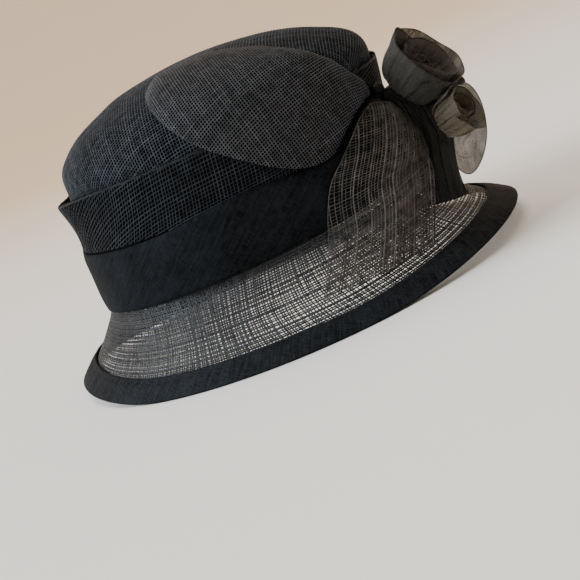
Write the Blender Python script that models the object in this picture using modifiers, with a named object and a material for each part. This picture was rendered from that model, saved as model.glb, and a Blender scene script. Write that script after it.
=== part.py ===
"""Cloche hat in woven straw cloth, standing on its rim. Metres, +X front, +Y wearer's left, +Z up."""
import math

import bpy
import bmesh
import numpy as np
from mathutils import Vector

# Rim, brim and its binding
RIM_LENGTH = 0.2740
RIM_WIDTH = 0.2390
RIM_LIFT_FRONT = 0.0100
RIM_LIFT_BACK = 0.0080
BINDING_WIDTH = 0.0150
BINDING_WALL = 0.0012

# Head opening and crown
HEAD_LENGTH = 0.1880
HEAD_WIDTH = 0.1600
HEAD_SHIFT = -0.0095
HEAD_LINE = 0.0445
HEAD_TILT = 0.0030
CROWN_HEIGHT = 0.1085
UPSTAND = 0.0060

# Cloth and clearances
STRAW_WALL = 0.0015
SILK_WALL = 0.0010
ORGANZA_WALL = 0.0010
GAP = 0.0003

# Band, drape, leaf and tail
BAND_HEIGHT = 0.0350
BAND_SWELL = 0.0008
DRAPE_WALL = 0.0010
DRAPE_TUCK = 0.0040
FOLD_HEIGHT = 0.0690
FOLD_PROUD = 0.0085
FOLD_DIP_BACK = 0.0065
LEAF_PUFF = 0.0050
LEAF_EASE = 0.0008
TAIL_FLARE = 0.0300
TAIL_BULGE = 0.0060

# Flowers
KNOT_TURN = -21.0
KNOT_HEIGHT = 0.0535
KNOT_RADIUS = 0.0042
BUNCH_RADIUS = 0.0064
BUNCH_STEP = (0.0074, 0.0040, -0.0066)
ROSE_RADIUS = 0.0205
ROSE_LENGTH = 0.0240
ROSE_STEP = (0.0132, 0.0005, -0.0040)
ROSE_AXIS = (0.66, -0.42, 0.62)
ROLL_RADIUS = 0.0125
ROLL_LENGTH = 0.0190
ROLL_STEP = (0.0260, -0.0160, -0.0275)
ROLL_AXIS = (0.865, -0.490, 0.096)
PETAL_LENGTH = 0.0500
PETAL_WIDTH = 0.0250
PETAL_CUP = 0.0060
PETAL_STEP = (0.0340, -0.0006, -0.0372)
GATHER_DROP = 0.0520
GATHER_FULL = 0.0020

# Facets around the hat
AROUND = 52

# Brim from the rim to the head line: how far out and how far up, as shares
BRIM_ROWS = [
    # out, up
    (1.00, 0.00),
    (0.86, 0.10),
    (0.71, 0.22),
    (0.56, 0.36),
    (0.41, 0.51),
    (0.27, 0.66),
    (0.13, 0.82),
    (0.00, 1.00),
]

# Crown from the head line to its top: height, then reach to back, front and side as shares of the head
CROWN_ROWS = [
    # rise, back, front, side
    (0.000, 1.000, 1.000, 1.000),
    (0.140, 0.989, 1.005, 1.013),
    (0.300, 0.990, 1.025, 1.025),
    (0.450, 0.957, 1.050, 1.025),
    (0.600, 0.934, 1.067, 1.012),
    (0.720, 0.920, 1.067, 0.975),
    (0.800, 0.840, 1.000, 0.900),
    (0.865, 0.725, 0.862, 0.805),
    (0.920, 0.565, 0.705, 0.670),
    (0.960, 0.420, 0.525, 0.500),
    (0.990, 0.160, 0.275, 0.270),
    (1.000, -0.060, 0.060, 0.000),
]

# The drape's folded edge round the hat: turn in degrees, and how proud it stands as a share of FOLD_PROUD
FOLD_ROWS = [
    # turn, proud
    (-180, 1.00),
    (-150, 0.90),
    (-120, 0.68),
    (-95, 0.55),
    (-60, 0.38),
    (-30, 0.35),
    (20, 0.35),
    (90, 0.60),
    (150, 0.85),
    (180, 1.00),
]

# Cross-section of the drape above the band: stand-off and height as shares of the fold's
DRAPE_SECTION = [
    # out, up
    (0.00, 0.00),
    (0.05, 0.18),
    (0.28, 0.42),
    (0.62, 0.68),
    (0.92, 0.88),
    (1.00, 0.96),
    (0.86, 1.00),
    (0.62, 0.97),
    (0.40, 0.84),
]

# The leaf, seen from a point inside the crown: turn on from the knot, lower and upper edge, in degrees
LEAF_EYE = (0.315, 0.750, 0.143)
LEAF_ROWS = [
    # turn, low, high
    (-3.6, 18.2, 22.2),
    (-7.0, 17.2, 24.8),
    (-11.0, 15.5, 28.5),
    (-16.0, 12.2, 33.5),
    (-21.0, 9.0, 37.5),
    (-27.0, 9.0, 41.0),
    (-33.0, 11.5, 43.5),
    (-39.0, 15.5, 45.5),
    (-45.0, 20.0, 46.2),
    (-50.0, 25.0, 45.5),
    (-55.0, 31.0, 44.0),
    (-59.0, 36.5, 41.5),
]

# The tail from the knot to its hem. Each edge has a turn, a level on the hat and a stand-off share of
# TAIL_FLARE. The bulge between the edges is a share of TAIL_BULGE.
TAIL_ROWS = [
    # left turn, left level, left stand, right turn, right level, right stand, bulge
    (-31.0, 1.286, 0.36, -22.5, 1.262, 0.45, 0.3),
    (-38.0, 1.270, 0.40, -22.5, 1.235, 0.62, 0.7),
    (-43.5, 1.228, 0.38, -22.5, 1.200, 0.77, 1.0),
    (-48.5, 1.180, 0.32, -22.5, 1.160, 0.90, 1.2),
    (-53.5, 1.130, 0.19, -23.0, 1.100, 0.95, 1.2),
    (-58.0, 1.050, 0.15, -25.0, 0.780, 1.00, 1.1),
    (-64.0, 0.830, 0.17, -28.0, 0.660, 0.83, 1.0),
    (-69.5, 0.640, 0.14, -34.0, 0.500, 0.47, 0.9),
    (-75.0, 0.430, 0.09, -42.0, 0.310, 0.14, 0.7),
]

# Section of the open rose, from its base to its heart: distance along the axis, radius, lobes
ROSE_SECTION = [
    # along, radius, lobe
    (0.00, 0.26, 0.00),
    (0.08, 0.60, 0.02),
    (0.26, 0.92, 0.03),
    (0.52, 1.06, 0.05),
    (0.80, 1.02, 0.06),
    (1.00, 1.00, 0.07),
    (1.01, 0.92, 0.07),
    (0.62, 0.76, 0.05),
    (0.62, 0.66, 0.05),
    (0.95, 0.68, 0.07),
    (0.95, 0.60, 0.07),
    (0.60, 0.46, 0.05),
    (0.62, 0.38, 0.05),
    (0.90, 0.38, 0.06),
    (0.90, 0.30, 0.05),
    (0.70, 0.12, 0.00),
]

# Section of the rolled rose
ROLL_SECTION = [
    # along, radius, lobe
    (0.00, 0.34, 0.00),
    (0.12, 0.66, 0.02),
    (0.45, 0.86, 0.03),
    (0.80, 0.95, 0.04),
    (1.00, 1.00, 0.05),
    (1.01, 0.90, 0.05),
    (0.50, 0.70, 0.03),
    (0.50, 0.58, 0.03),
    (0.90, 0.60, 0.06),
    (0.90, 0.48, 0.06),
    (0.55, 0.24, 0.02),
]

# The organza that falls from the flowers: drop, then both edges, as shares of GATHER_DROP from the knot
GATHER_ROWS = [
    # drop, left x, left y, right x, right y
    (0.36, 0.23, 0.02, 0.43, -0.19),
    (0.52, 0.26, 0.00, 0.51, -0.23),
    (0.69, 0.29, -0.06, 0.56, -0.27),
    (0.86, 0.29, -0.12, 0.52, -0.29),
    (1.00, 0.27, -0.17, 0.44, -0.31),
]


def smooth_rows(rows, share):
    """Values of a table at a share of its length, on a smooth curve through its rows."""
    table = np.array(rows, dtype=float)
    last = len(table) - 1
    place = min(max(share, 0.0), 1.0) * last
    row = min(int(place), last - 1)
    t = place - row
    b = table[row]
    c = table[row + 1]
    a = table[row - 1] if row > 0 else 2.0 * b - c
    d = table[row + 2] if row + 2 <= last else 2.0 * c - b
    return 0.5 * (2.0 * b + (c - a) * t + (2.0 * a - 5.0 * b + 4.0 * c - d) * t * t
                  + (3.0 * b - a - 3.0 * c + d) * t ** 3)


def rim_lift(turn):
    """Height of the rim above the floor: it lies flat along the sides and rises at both ends."""
    c = math.cos(turn)
    front = max((c - 0.35) / 0.65, 0.0) ** 1.6
    back = max((-c - 0.55) / 0.45, 0.0) ** 1.6
    return RIM_LIFT_FRONT * front + RIM_LIFT_BACK * back


def rim_edge_step():
    """How far the binding's outer corner lies outside the brim's own line."""
    return 1.5 * (BINDING_WALL + GAP)


def hat_point(turn, level):
    """Outer face of the hat. Level 0 is the rim, 1 the head line and 2 the crown's top."""
    c = math.cos(turn)
    s = math.sin(turn)
    half_length = HEAD_LENGTH / 2
    half_width = HEAD_WIDTH / 2
    if level < 1.0:
        out, up = smooth_rows(BRIM_ROWS, level)
        head = Vector((HEAD_SHIFT + half_length * c, half_width * s, HEAD_LINE + HEAD_TILT * c))
        step = rim_edge_step()
        rim = Vector(((RIM_LENGTH / 2 - step) * c, (RIM_WIDTH / 2 - step) * s, rim_lift(turn)))
        flat = head.lerp(rim, out)
        return Vector((flat.x, flat.y, rim.z + (head.z - rim.z) * up))
    rise, back, front, side = smooth_rows(CROWN_ROWS, level - 1.0)
    centre = HEAD_SHIFT + half_length * (front - back) / 2
    reach = half_length * (front + back) / 2
    height = HEAD_LINE + CROWN_HEIGHT * rise + HEAD_TILT * c * (1.0 - rise)
    return Vector((centre + reach * c, half_width * side * s, height))


def outward(turn, level):
    """Outward direction, square to the hat's outer face."""
    step = 0.001
    low = max(level - step, 0.0 if level < 1.0 else 1.0)
    high = min(level + step, 0.9999 if level < 1.0 else 1.999)
    along = hat_point(turn + step, level) - hat_point(turn - step, level)
    up = hat_point(turn, high) - hat_point(turn, low)
    return along.cross(up).normalized()


def off_hat(turn, level, stand):
    """A point that stands off the hat's outer face."""
    return hat_point(turn, level) + outward(turn, level) * stand


CROWN_LEVELS = np.linspace(0.0, 1.0, 200)
CROWN_RISES = [smooth_rows(CROWN_ROWS, level)[0] for level in CROWN_LEVELS]


def crown_level(height):
    """Level on the crown at a height above the head line."""
    return 1.0 + float(np.interp(height / CROWN_HEIGHT, CROWN_RISES, CROWN_LEVELS))


def turns():
    """The facets' turns round the hat, in radians."""
    return [2.0 * math.pi * i / AROUND for i in range(AROUND)]


def fold_proud(turn):
    """How far the drape's folded edge stands out at this turn."""
    degrees = math.degrees(math.atan2(math.sin(turn), math.cos(turn)))
    table = np.array(FOLD_ROWS, dtype=float)
    return FOLD_PROUD * float(np.interp(degrees, table[:, 0], table[:, 1]))


def drape_stand(turn, height):
    """How far the drape's outer face stands off the crown, at a height above the head line."""
    table = np.array(DRAPE_SECTION, dtype=float)
    peak = int(np.argmax(table[:, 1]))
    base = BAND_HEIGHT + 4.0 * GAP
    share = (height - base) / (FOLD_HEIGHT - base)
    out = float(np.interp(share, table[:peak, 1], table[:peak, 0]))
    hug = GAP + DRAPE_WALL
    return hug + (fold_proud(turn) - hug) * out


def clear_scene():
    """Start from an empty file."""
    for item in list(bpy.data.objects):
        bpy.data.objects.remove(item, do_unlink=True)


def cloth(name, colour, roughness):
    """A plain cloth material."""
    material = bpy.data.materials.new(name)
    material.use_nodes = True
    shader = material.node_tree.nodes["Principled BSDF"]
    shader.inputs["Base Color"].default_value = (*colour, 1.0)
    shader.inputs["Roughness"].default_value = roughness
    shader.inputs["Metallic"].default_value = 0.0
    return material


def loft(name, rings, material, closed=True, first_cap=None, last_cap=None, flip=False):
    """A surface through rings of points, each cap a single point or "face" for a flat end."""
    mesh = bmesh.new()
    rows = [[mesh.verts.new(point) for point in ring] for ring in rings]
    count = len(rows[0])
    spans = count if closed else count - 1
    for low, high in zip(rows, rows[1:]):
        for i in range(spans):
            j = (i + 1) % count
            mesh.faces.new((low[i], low[j], high[j], high[i]))
    for cap, row, order in ((first_cap, rows[0], -1), (last_cap, rows[-1], 1)):
        if cap == "face":
            mesh.faces.new(row[::order])
        elif cap is not None:
            tip = mesh.verts.new(cap)
            for i in range(spans):
                pair = (row[i], row[(i + 1) % count])[::order]
                mesh.faces.new((*pair, tip))
    if flip:
        bmesh.ops.reverse_faces(mesh, faces=mesh.faces)
    data = bpy.data.meshes.new(name)
    mesh.to_mesh(data)
    mesh.free()
    data.shade_smooth()
    data.materials.append(material)
    item = bpy.data.objects.new(name, data)
    hat.objects.link(item)
    return item


def thicken(item, wall):
    """Give an open surface its wall, on its inner side."""
    shell = item.modifiers.new("wall", "SOLIDIFY")
    shell.thickness = wall
    shell.offset = -1.0
    return item


def build_crown():
    """The blocked crown: a dome that starts above the brim's upstand."""
    first = crown_level(UPSTAND)
    second = crown_level(0.5 * (UPSTAND + BAND_HEIGHT))
    rows = len(CROWN_ROWS) - 1
    levels = [first, second] + [1.0 + k / rows for k in range(3, rows)]
    levels += [2.0 - 0.45 / rows]
    rings = [[hat_point(turn, level) for turn in turns()] for level in levels]
    return thicken(loft("crown", rings, straw, last_cap=hat_point(0.0, 2.0)), STRAW_WALL)


def build_brim():
    """The flared brim, from inside its binding up to a short upstand behind the band."""
    top = crown_level(UPSTAND - GAP)
    rings = [[hat_point(turn, brim_start(turn)) for turn in turns()],
             [hat_point(turn, binding_top(turn)) for turn in turns()]]
    for share in (0.15, 0.33, 0.52, 0.75):
        rings.append([hat_point(turn, binding_top(turn) * (1.0 - share) + share) for turn in turns()])
    for level in (1.0, top):
        rings.append([hat_point(turn, level) for turn in turns()])
    return thicken(loft("brim", rings, straw), STRAW_WALL)


def brim_run(turn, length):
    """Level on the brim at a distance up its slope from the rim."""
    slope = (hat_point(turn, 0.999) - hat_point(turn, 0.0)).length
    return length / slope


def brim_start(turn):
    """Level of the brim's own edge, seated a little above the binding's fold."""
    fall = (hat_point(turn, 0.04) - hat_point(turn, 0.0)).normalized().z
    height = BINDING_WALL + 3.0 * GAP + STRAW_WALL * outward(turn, 0.02).z
    return brim_run(turn, height / fall)


def binding_top(turn):
    """Level of the binding's upper edge."""
    return brim_run(turn, BINDING_WIDTH)


def binding_section(turn):
    """Closed outline of the folded binding over the brim's edge, cut flat where it meets the floor."""
    rim = hat_point(turn, 0.0)
    face = GAP
    back = -(STRAW_WALL + GAP)
    top_level = binding_top(turn)
    seat_level = brim_start(turn)

    def floor_point(stand, height):
        """Where a line at this stand-off from the brim comes down to a height above the rim."""
        near = hat_point(turn, 0.04)
        slope = (rim - near).normalized()
        start = rim + outward(turn, 0.02) * stand
        run = (start.z - rim.z - height) / -slope.z
        return start + slope * run

    outer = face + BINDING_WALL
    inner = back - BINDING_WALL
    return [
        floor_point(outer, 0.0),
        off_hat(turn, seat_level, outer),
        off_hat(turn, top_level, outer),
        off_hat(turn, top_level, face),
        off_hat(turn, seat_level, face),
        floor_point(face, BINDING_WALL),
        floor_point(back, BINDING_WALL),
        off_hat(turn, seat_level, back),
        off_hat(turn, top_level, back),
        off_hat(turn, top_level, inner),
        off_hat(turn, seat_level, inner),
        floor_point(inner, 0.0),
    ]


def build_binding():
    """The silk binding folded over the brim's edge all the way round."""
    sections = [binding_section(turn) for turn in turns()]
    corners = len(sections[0])
    rings = [[section[k] for section in sections] for k in range(corners)]
    rings.append(rings[0])
    item = loft("brim_binding", rings, silk)
    seam = bmesh.new()
    seam.from_mesh(item.data)
    bmesh.ops.remove_doubles(seam, verts=seam.verts, dist=GAP / 30)
    bmesh.ops.recalc_face_normals(seam, faces=seam.faces)
    seam.to_mesh(item.data)
    seam.free()
    return item


def band_inner():
    """Stand-off of the band's inner face: room for the drape's tucked edge."""
    return GAP + DRAPE_WALL + GAP


def build_band():
    """The silk band over the joint of crown and brim."""
    rings = []
    for share in (0.0, 0.25, 0.5, 0.75, 1.0):
        level = crown_level(BAND_HEIGHT * share)
        swell = BAND_SWELL * math.sin(math.pi * share)
        stand = band_inner() + SILK_WALL + swell
        rings.append([off_hat(turn, max(level, 1.001), stand) for turn in turns()])
    return thicken(loft("band", rings, silk), SILK_WALL)


def build_drape():
    """The second tier: cloth from behind the band up to a proud fold, and back to the crown."""
    base = BAND_HEIGHT + 4.0 * GAP
    hug = GAP + DRAPE_WALL
    tuck = crown_level(BAND_HEIGHT - DRAPE_TUCK)
    rings = [[off_hat(turn, tuck, hug) for turn in turns()]]
    for out, up in DRAPE_SECTION:
        ring = []
        for turn in turns():
            dip = FOLD_DIP_BACK * max(-math.cos(turn), 0.0) ** 6
            height = base + (FOLD_HEIGHT - dip - base) * up
            stand = hug + (fold_proud(turn) - hug) * out
            ring.append(off_hat(turn, crown_level(height), stand))
        rings.append(ring)
    return thicken(loft("crown_drape", rings, straw), DRAPE_WALL)


def leaf_eye():
    """The point inside the crown that the leaf's angles are taken from."""
    along, across, up = LEAF_EYE
    return Vector((HEAD_SHIFT + HEAD_LENGTH / 2 * along, HEAD_WIDTH / 2 * across,
                   HEAD_LINE + CROWN_HEIGHT * up))


def inside_crown(point):
    """Whether a point lies inside the crown's outer face."""
    rise = (point.z - HEAD_LINE) / CROWN_HEIGHT
    if rise >= 1.0:
        return False
    row = smooth_rows(CROWN_ROWS, crown_level(rise * CROWN_HEIGHT) - 1.0)
    centre = HEAD_SHIFT + HEAD_LENGTH / 2 * (row[2] - row[1]) / 2
    reach = HEAD_LENGTH / 2 * (row[1] + row[2]) / 2
    side = HEAD_WIDTH / 2 * row[3]
    return ((point.x - centre) / reach) ** 2 + (point.y / side) ** 2 < 1.0


def crown_hit(turn, tilt):
    """Where a ray from the leaf's eye meets the crown."""
    eye = leaf_eye()
    ray = Vector((math.cos(tilt) * math.cos(turn), math.cos(tilt) * math.sin(turn), math.sin(tilt)))
    near = 0.0
    far = HEAD_LENGTH
    for _ in range(18):
        middle = 0.5 * (near + far)
        if inside_crown(eye + ray * middle):
            near = middle
        else:
            far = middle
    return eye + ray * near


def build_leaf():
    """The leaf-shaped loop that lies over the crown's side, low at its rim and full in the middle."""
    across = 8
    along = 2 * (len(LEAF_ROWS) - 1)
    to_knot = knot_place() - leaf_eye()
    start = math.atan2(to_knot.y, to_knot.x)
    rings = []
    for i in range(along + 1):
        turn, low, high = smooth_rows(LEAF_ROWS, i / along)
        high_stand = GAP + STRAW_WALL + LEAF_EASE * min(4.0 * i / along, 1.0)
        taper = math.sin(math.pi * min(0.08 + 0.92 * i / along, 1.0)) ** 0.5
        ring = []
        for j in range(across + 1):
            v = j / across
            a = start + math.radians(turn)
            b = math.radians(low + (high - low) * v)
            point = crown_hit(a, b)
            step = 0.02
            square = (crown_hit(a + step, b) - crown_hit(a - step, b)).cross(
                crown_hit(a, b + step) - crown_hit(a, b - step)).normalized()
            under = fold_proud(math.atan2(point.y / HEAD_WIDTH, (point.x - HEAD_SHIFT) / HEAD_LENGTH))
            gathered = min(i / along / 0.35, 1.0)
            ease = v * v * (3.0 - 2.0 * v) * gathered
            tip = max(0.0, i / along - 0.75) / 0.25
            edge = high_stand + under * (1.0 - max(ease, tip))
            puff = LEAF_PUFF * math.sin(math.pi * v) ** 0.7 * taper
            ring.append(point + square * (edge + puff))
        rings.append(ring)
    return thicken(loft("leaf_loop", rings, straw, closed=False, flip=True), STRAW_WALL)


def tail_edges():
    """The tail's left and right edges from the knot down to the hem."""
    edges = []
    for left_turn, left_level, left_stand, right_turn, right_level, right_stand, bulge in TAIL_ROWS:
        left = off_hat(math.radians(left_turn), left_level, TAIL_FLARE * left_stand)
        right = off_hat(math.radians(right_turn), right_level, TAIL_FLARE * right_stand)
        edges.append((*left, *right, TAIL_BULGE * bulge))
    return edges


def build_tail():
    """The tail: a wide drop of cloth from the knot over band and brim, flaring free at the front."""
    edges = tail_edges()
    along = 2 * (len(edges) - 1)
    across = 9
    rings = []
    for i in range(along + 1):
        row = smooth_rows(edges, i / along)
        left = Vector(row[0:3])
        right = Vector(row[3:6])
        square = (right - left).cross(Vector((0, 0, 1))).normalized()
        ring = []
        for j in range(across + 1):
            v = j / across
            ring.append(left.lerp(right, v) + square * row[6] * 4.0 * v * (1.0 - v))
        rings.append(ring)
    return thicken(loft("tail", rings, straw, closed=False, flip=True), DRAPE_WALL)


def knot_place():
    """Centre of the knot that gathers leaf, tail and flowers, just clear of the drape."""
    turn = math.radians(KNOT_TURN)
    stand = drape_stand(turn, KNOT_HEIGHT) + GAP + KNOT_RADIUS
    return off_hat(turn, crown_level(KNOT_HEIGHT), stand)


def build_ball(name, centre, radius, material):
    """A rounded bunch of gathered cloth."""
    bpy.ops.mesh.primitive_uv_sphere_add(segments=16, ring_count=8, radius=radius, location=centre)
    item = bpy.context.object
    item.name = name
    item.data.name = name
    item.data.shade_smooth()
    item.data.materials.append(material)
    for owner in list(item.users_collection):
        owner.objects.unlink(item)
    hat.objects.link(item)
    return item


def build_flower(name, base, axis, length, radius, section, lobes, material):
    """A rolled flower: lobed rings along its axis, out to the mouth and back in to the heart."""
    axis = Vector(axis).normalized()
    side = axis.cross(Vector((0, 0, 1))).normalized()
    top = side.cross(axis)
    around = 20
    rings = []
    for along, reach, lobe in section:
        ring = []
        for i in range(around):
            turn = 2.0 * math.pi * i / around
            wave = math.cos(lobes * turn + 2.0 * along)
            grown = radius * reach * (1.0 + lobe * wave)
            lean = length * (along + 0.9 * lobe * math.sin((lobes - 1) * turn))
            ring.append(base + axis * lean + (side * math.cos(turn) + top * math.sin(turn)) * grown)
        rings.append(ring)
    heart = base + axis * length * section[-1][0]
    return loft(name, rings, material, first_cap="face", last_cap=heart, flip=True)


def build_petal(centre):
    """The wide thin outer petal behind the rolled rose, cupped towards it."""
    long_way = Vector((0.28, 0.0, 0.96)).normalized()
    facing = Vector((0.35, -0.93, 0.10)).normalized()
    wide_way = long_way.cross(facing).normalized()
    around = 20
    rings = []
    for share in (1.0, 0.72, 0.40):
        ring = []
        for i in range(around):
            turn = 2.0 * math.pi * i / around
            wide = PETAL_WIDTH / 2 * share * math.cos(turn)
            tall = PETAL_LENGTH / 2 * share * math.sin(turn)
            cup = facing * PETAL_CUP * share * share
            ring.append(centre + wide_way * wide + long_way * tall + cup)
        rings.append(ring)
    petal = loft("rose_petal", rings, organza, last_cap=centre)
    return thicken(petal, ORGANZA_WALL)


def build_gather(knot):
    """The dark gathered organza that falls from the flowers to the brim."""
    rings = []
    across = 6
    for drop, left_x, left_y, right_x, right_y in GATHER_ROWS:
        left = knot + Vector((left_x, left_y, -drop)) * GATHER_DROP
        right = knot + Vector((right_x, right_y, -drop)) * GATHER_DROP
        square = (right - left).cross(Vector((0, 0, 1))).normalized()
        ring = []
        for j in range(across + 1):
            v = j / across
            ring.append(left.lerp(right, v) + square * GATHER_FULL * math.sin(math.pi * v))
        rings.append(ring)
    item = loft("organza_gather", rings, organza, closed=False, flip=True)
    return thicken(item, ORGANZA_WALL)


clear_scene()
hat = bpy.data.collections.new("cloche_hat")
bpy.context.scene.collection.children.link(hat)
straw = cloth("straw", (0.020, 0.021, 0.024), 0.70)
silk = cloth("silk", (0.012, 0.015, 0.020), 0.60)
organza = cloth("organza", (0.045, 0.042, 0.036), 0.55)

build_crown()
build_brim()
build_binding()
build_band()
build_drape()
build_leaf()
build_tail()
knot_centre = knot_place()
build_ball("knot", knot_centre, KNOT_RADIUS, straw)
build_ball("rose_base", knot_centre + Vector(BUNCH_STEP), BUNCH_RADIUS, organza)
build_flower("rose_upper", knot_centre + Vector(ROSE_STEP), ROSE_AXIS, ROSE_LENGTH, ROSE_RADIUS,
             ROSE_SECTION, 4, organza)
build_flower("rose_lower", knot_centre + Vector(ROLL_STEP), ROLL_AXIS, ROLL_LENGTH, ROLL_RADIUS,
             ROLL_SECTION, 3, organza)
build_petal(knot_centre + Vector(PETAL_STEP))
build_gather(knot_centre)
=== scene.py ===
# %% [markdown]
# # A cloche hat of woven straw cloth
# This file dresses the solids of a cloche hat: a blocked crown, a draped second tier, a silk band, a flared
# brim that light shines through, and a trim of one leaf, one tail and two organza roses. The real cloth is
# open: you see its strands, and the dark or the light behind them. A picture of a weave on a smooth wall
# stays flat, so here the strands are modelled one by one, and light finds its own way through.

# %% Load the hat's solids
import math

import bpy
import numpy as np
from mathutils import Matrix, Vector
from mathutils.bvhtree import BVHTree


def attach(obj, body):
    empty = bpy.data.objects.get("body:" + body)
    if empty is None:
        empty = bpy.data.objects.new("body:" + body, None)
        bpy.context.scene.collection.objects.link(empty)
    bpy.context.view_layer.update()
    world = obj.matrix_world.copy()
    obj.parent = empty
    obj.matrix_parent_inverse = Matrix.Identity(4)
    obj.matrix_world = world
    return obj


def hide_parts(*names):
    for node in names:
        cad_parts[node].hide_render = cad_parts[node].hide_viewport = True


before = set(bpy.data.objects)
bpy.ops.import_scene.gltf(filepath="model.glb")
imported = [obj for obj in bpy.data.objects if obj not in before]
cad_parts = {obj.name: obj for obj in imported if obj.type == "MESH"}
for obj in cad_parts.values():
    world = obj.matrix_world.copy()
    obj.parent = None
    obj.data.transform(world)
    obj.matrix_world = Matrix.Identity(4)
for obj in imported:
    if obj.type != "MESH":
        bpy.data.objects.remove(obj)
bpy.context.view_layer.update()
print("solids:", sorted(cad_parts))

# %% [markdown]
# ## The camera
# The camera comes first, because every later choice is looked at through it. It stands at the hat's right
# and a little to the front, 13 degrees above the table. The hat in the picture sits tilted, and ours rests
# level on its rim. Turning the hat would lift its rim off the table, so the camera is rolled instead.

# %% Place the camera
VIEW_TURN = math.radians(10.0)
VIEW_RISE = math.radians(13.0)
VIEW_ROLL = math.radians(24.4)
VIEW_DISTANCE = 0.90
LOOK_AT = Vector((-0.0047, 0.0, 0.0070))
SENSOR_WIDTH = 36.0
LENS_SHARE = 1542.0 / 580.0

towards_camera = Vector((math.sin(VIEW_TURN) * math.cos(VIEW_RISE),
                         -math.cos(VIEW_TURN) * math.cos(VIEW_RISE), math.sin(VIEW_RISE)))
level_right = (-towards_camera).cross(Vector((0, 0, 1))).normalized()
level_up = level_right.cross(-towards_camera)
camera_right = level_right * math.cos(VIEW_ROLL) - level_up * math.sin(VIEW_ROLL)
camera_up = level_right * math.sin(VIEW_ROLL) + level_up * math.cos(VIEW_ROLL)
turned = Matrix((camera_right, camera_up, towards_camera)).transposed().to_4x4()
turned.translation = LOOK_AT + towards_camera * VIEW_DISTANCE
bpy.ops.object.camera_add()
camera = bpy.context.object
camera.name = "camera"
camera.matrix_world = turned
camera.data.sensor_width = SENSOR_WIDTH
camera.data.lens = SENSOR_WIDTH * LENS_SHARE
bpy.context.scene.camera = camera
print("camera at", [round(c, 3) for c in camera.location])

# %% [markdown]
# ## The block
# A milliner stretches wet cloth over a wooden block, and everything on the hat follows that block. So one
# function gives the block's surface: a turn round the head and a level, from 0 at the rim over 1 at the
# head line to 2 at the top. The sizes and tables are those of the solids.

# %% Sizes of the hat
RIM_LENGTH = 0.2740
RIM_WIDTH = 0.2390
RIM_LIFT_FRONT = 0.0100
RIM_LIFT_BACK = 0.0080
BINDING_WIDTH = 0.0150
BINDING_WALL = 0.0012
HEAD_LENGTH = 0.1880
HEAD_WIDTH = 0.1600
HEAD_SHIFT = -0.0095
HEAD_LINE = 0.0445
HEAD_TILT = 0.0030
CROWN_HEIGHT = 0.1085
UPSTAND = 0.0060
STRAW_WALL = 0.0015
SILK_WALL = 0.0010
GAP = 0.0003
BAND_HEIGHT = 0.0350
DRAPE_WALL = 0.0010
FOLD_HEIGHT = 0.0690
FOLD_PROUD = 0.0085
FOLD_DIP_BACK = 0.0065
LEAF_PUFF = 0.0050
LEAF_EASE = 0.0008
TAIL_FLARE = 0.0300
TAIL_BULGE = 0.0060
KNOT_TURN = -21.0
KNOT_HEIGHT = 0.0535
KNOT_RADIUS = 0.0042
print("rim", RIM_LENGTH, "by", RIM_WIDTH, "head", HEAD_LENGTH, "by", HEAD_WIDTH)

# %% Profiles of brim, crown and drape
BRIM_ROWS = [
    # out, up
    (1.00, 0.00), (0.86, 0.10), (0.71, 0.22), (0.56, 0.36),
    (0.41, 0.51), (0.27, 0.66), (0.13, 0.82), (0.00, 1.00),
]
CROWN_ROWS = [
    # rise, back, front, side
    (0.000, 1.000, 1.000, 1.000), (0.140, 0.989, 1.005, 1.013), (0.300, 0.990, 1.025, 1.025),
    (0.450, 0.957, 1.050, 1.025), (0.600, 0.934, 1.067, 1.012), (0.720, 0.920, 1.067, 0.975),
    (0.800, 0.840, 1.000, 0.900), (0.865, 0.725, 0.862, 0.805), (0.920, 0.565, 0.705, 0.670),
    (0.960, 0.420, 0.525, 0.500), (0.990, 0.160, 0.275, 0.270), (1.000, -0.060, 0.060, 0.000),
]
FOLD_ROWS = [
    # turn, proud
    (-180, 1.00), (-150, 0.90), (-120, 0.68), (-95, 0.55), (-60, 0.38),
    (-30, 0.35), (20, 0.35), (90, 0.60), (150, 0.85), (180, 1.00),
]
DRAPE_SECTION = [
    # out, up
    (0.00, 0.00), (0.05, 0.18), (0.28, 0.42), (0.62, 0.68), (0.92, 0.88), (1.00, 0.96), (0.86, 1.00),
    (0.62, 0.97), (0.40, 0.84),
]
print("rows:", len(BRIM_ROWS), "brim,", len(CROWN_ROWS), "crown,", len(DRAPE_SECTION), "drape")

# %% The block as a function
def curve_rows(rows, share):
    """Values of a table at shares of its length, on a smooth curve through its rows."""
    table = np.array(rows, dtype=float)
    last = len(table) - 1
    place = np.clip(share, 0.0, 1.0) * last
    row = np.minimum(place.astype(int), last - 1)
    t = (place - row)[..., None]
    padded = np.vstack([2.0 * table[0] - table[1], table, 2.0 * table[-1] - table[-2]])
    a, b, c, d = (padded[row + k] for k in range(4))
    return 0.5 * (2.0 * b + (c - a) * t + (2.0 * a - 5.0 * b + 4.0 * c - d) * t * t
                  + (3.0 * b - a - 3.0 * c + d) * t ** 3)


def rim_lift(turn):
    """Height of the rim above the table: flat along the sides, lifted at both ends."""
    c = np.cos(turn)
    front = np.clip((c - 0.35) / 0.65, 0.0, None) ** 1.6
    back = np.clip((-c - 0.55) / 0.45, 0.0, None) ** 1.6
    return RIM_LIFT_FRONT * front + RIM_LIFT_BACK * back


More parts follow.
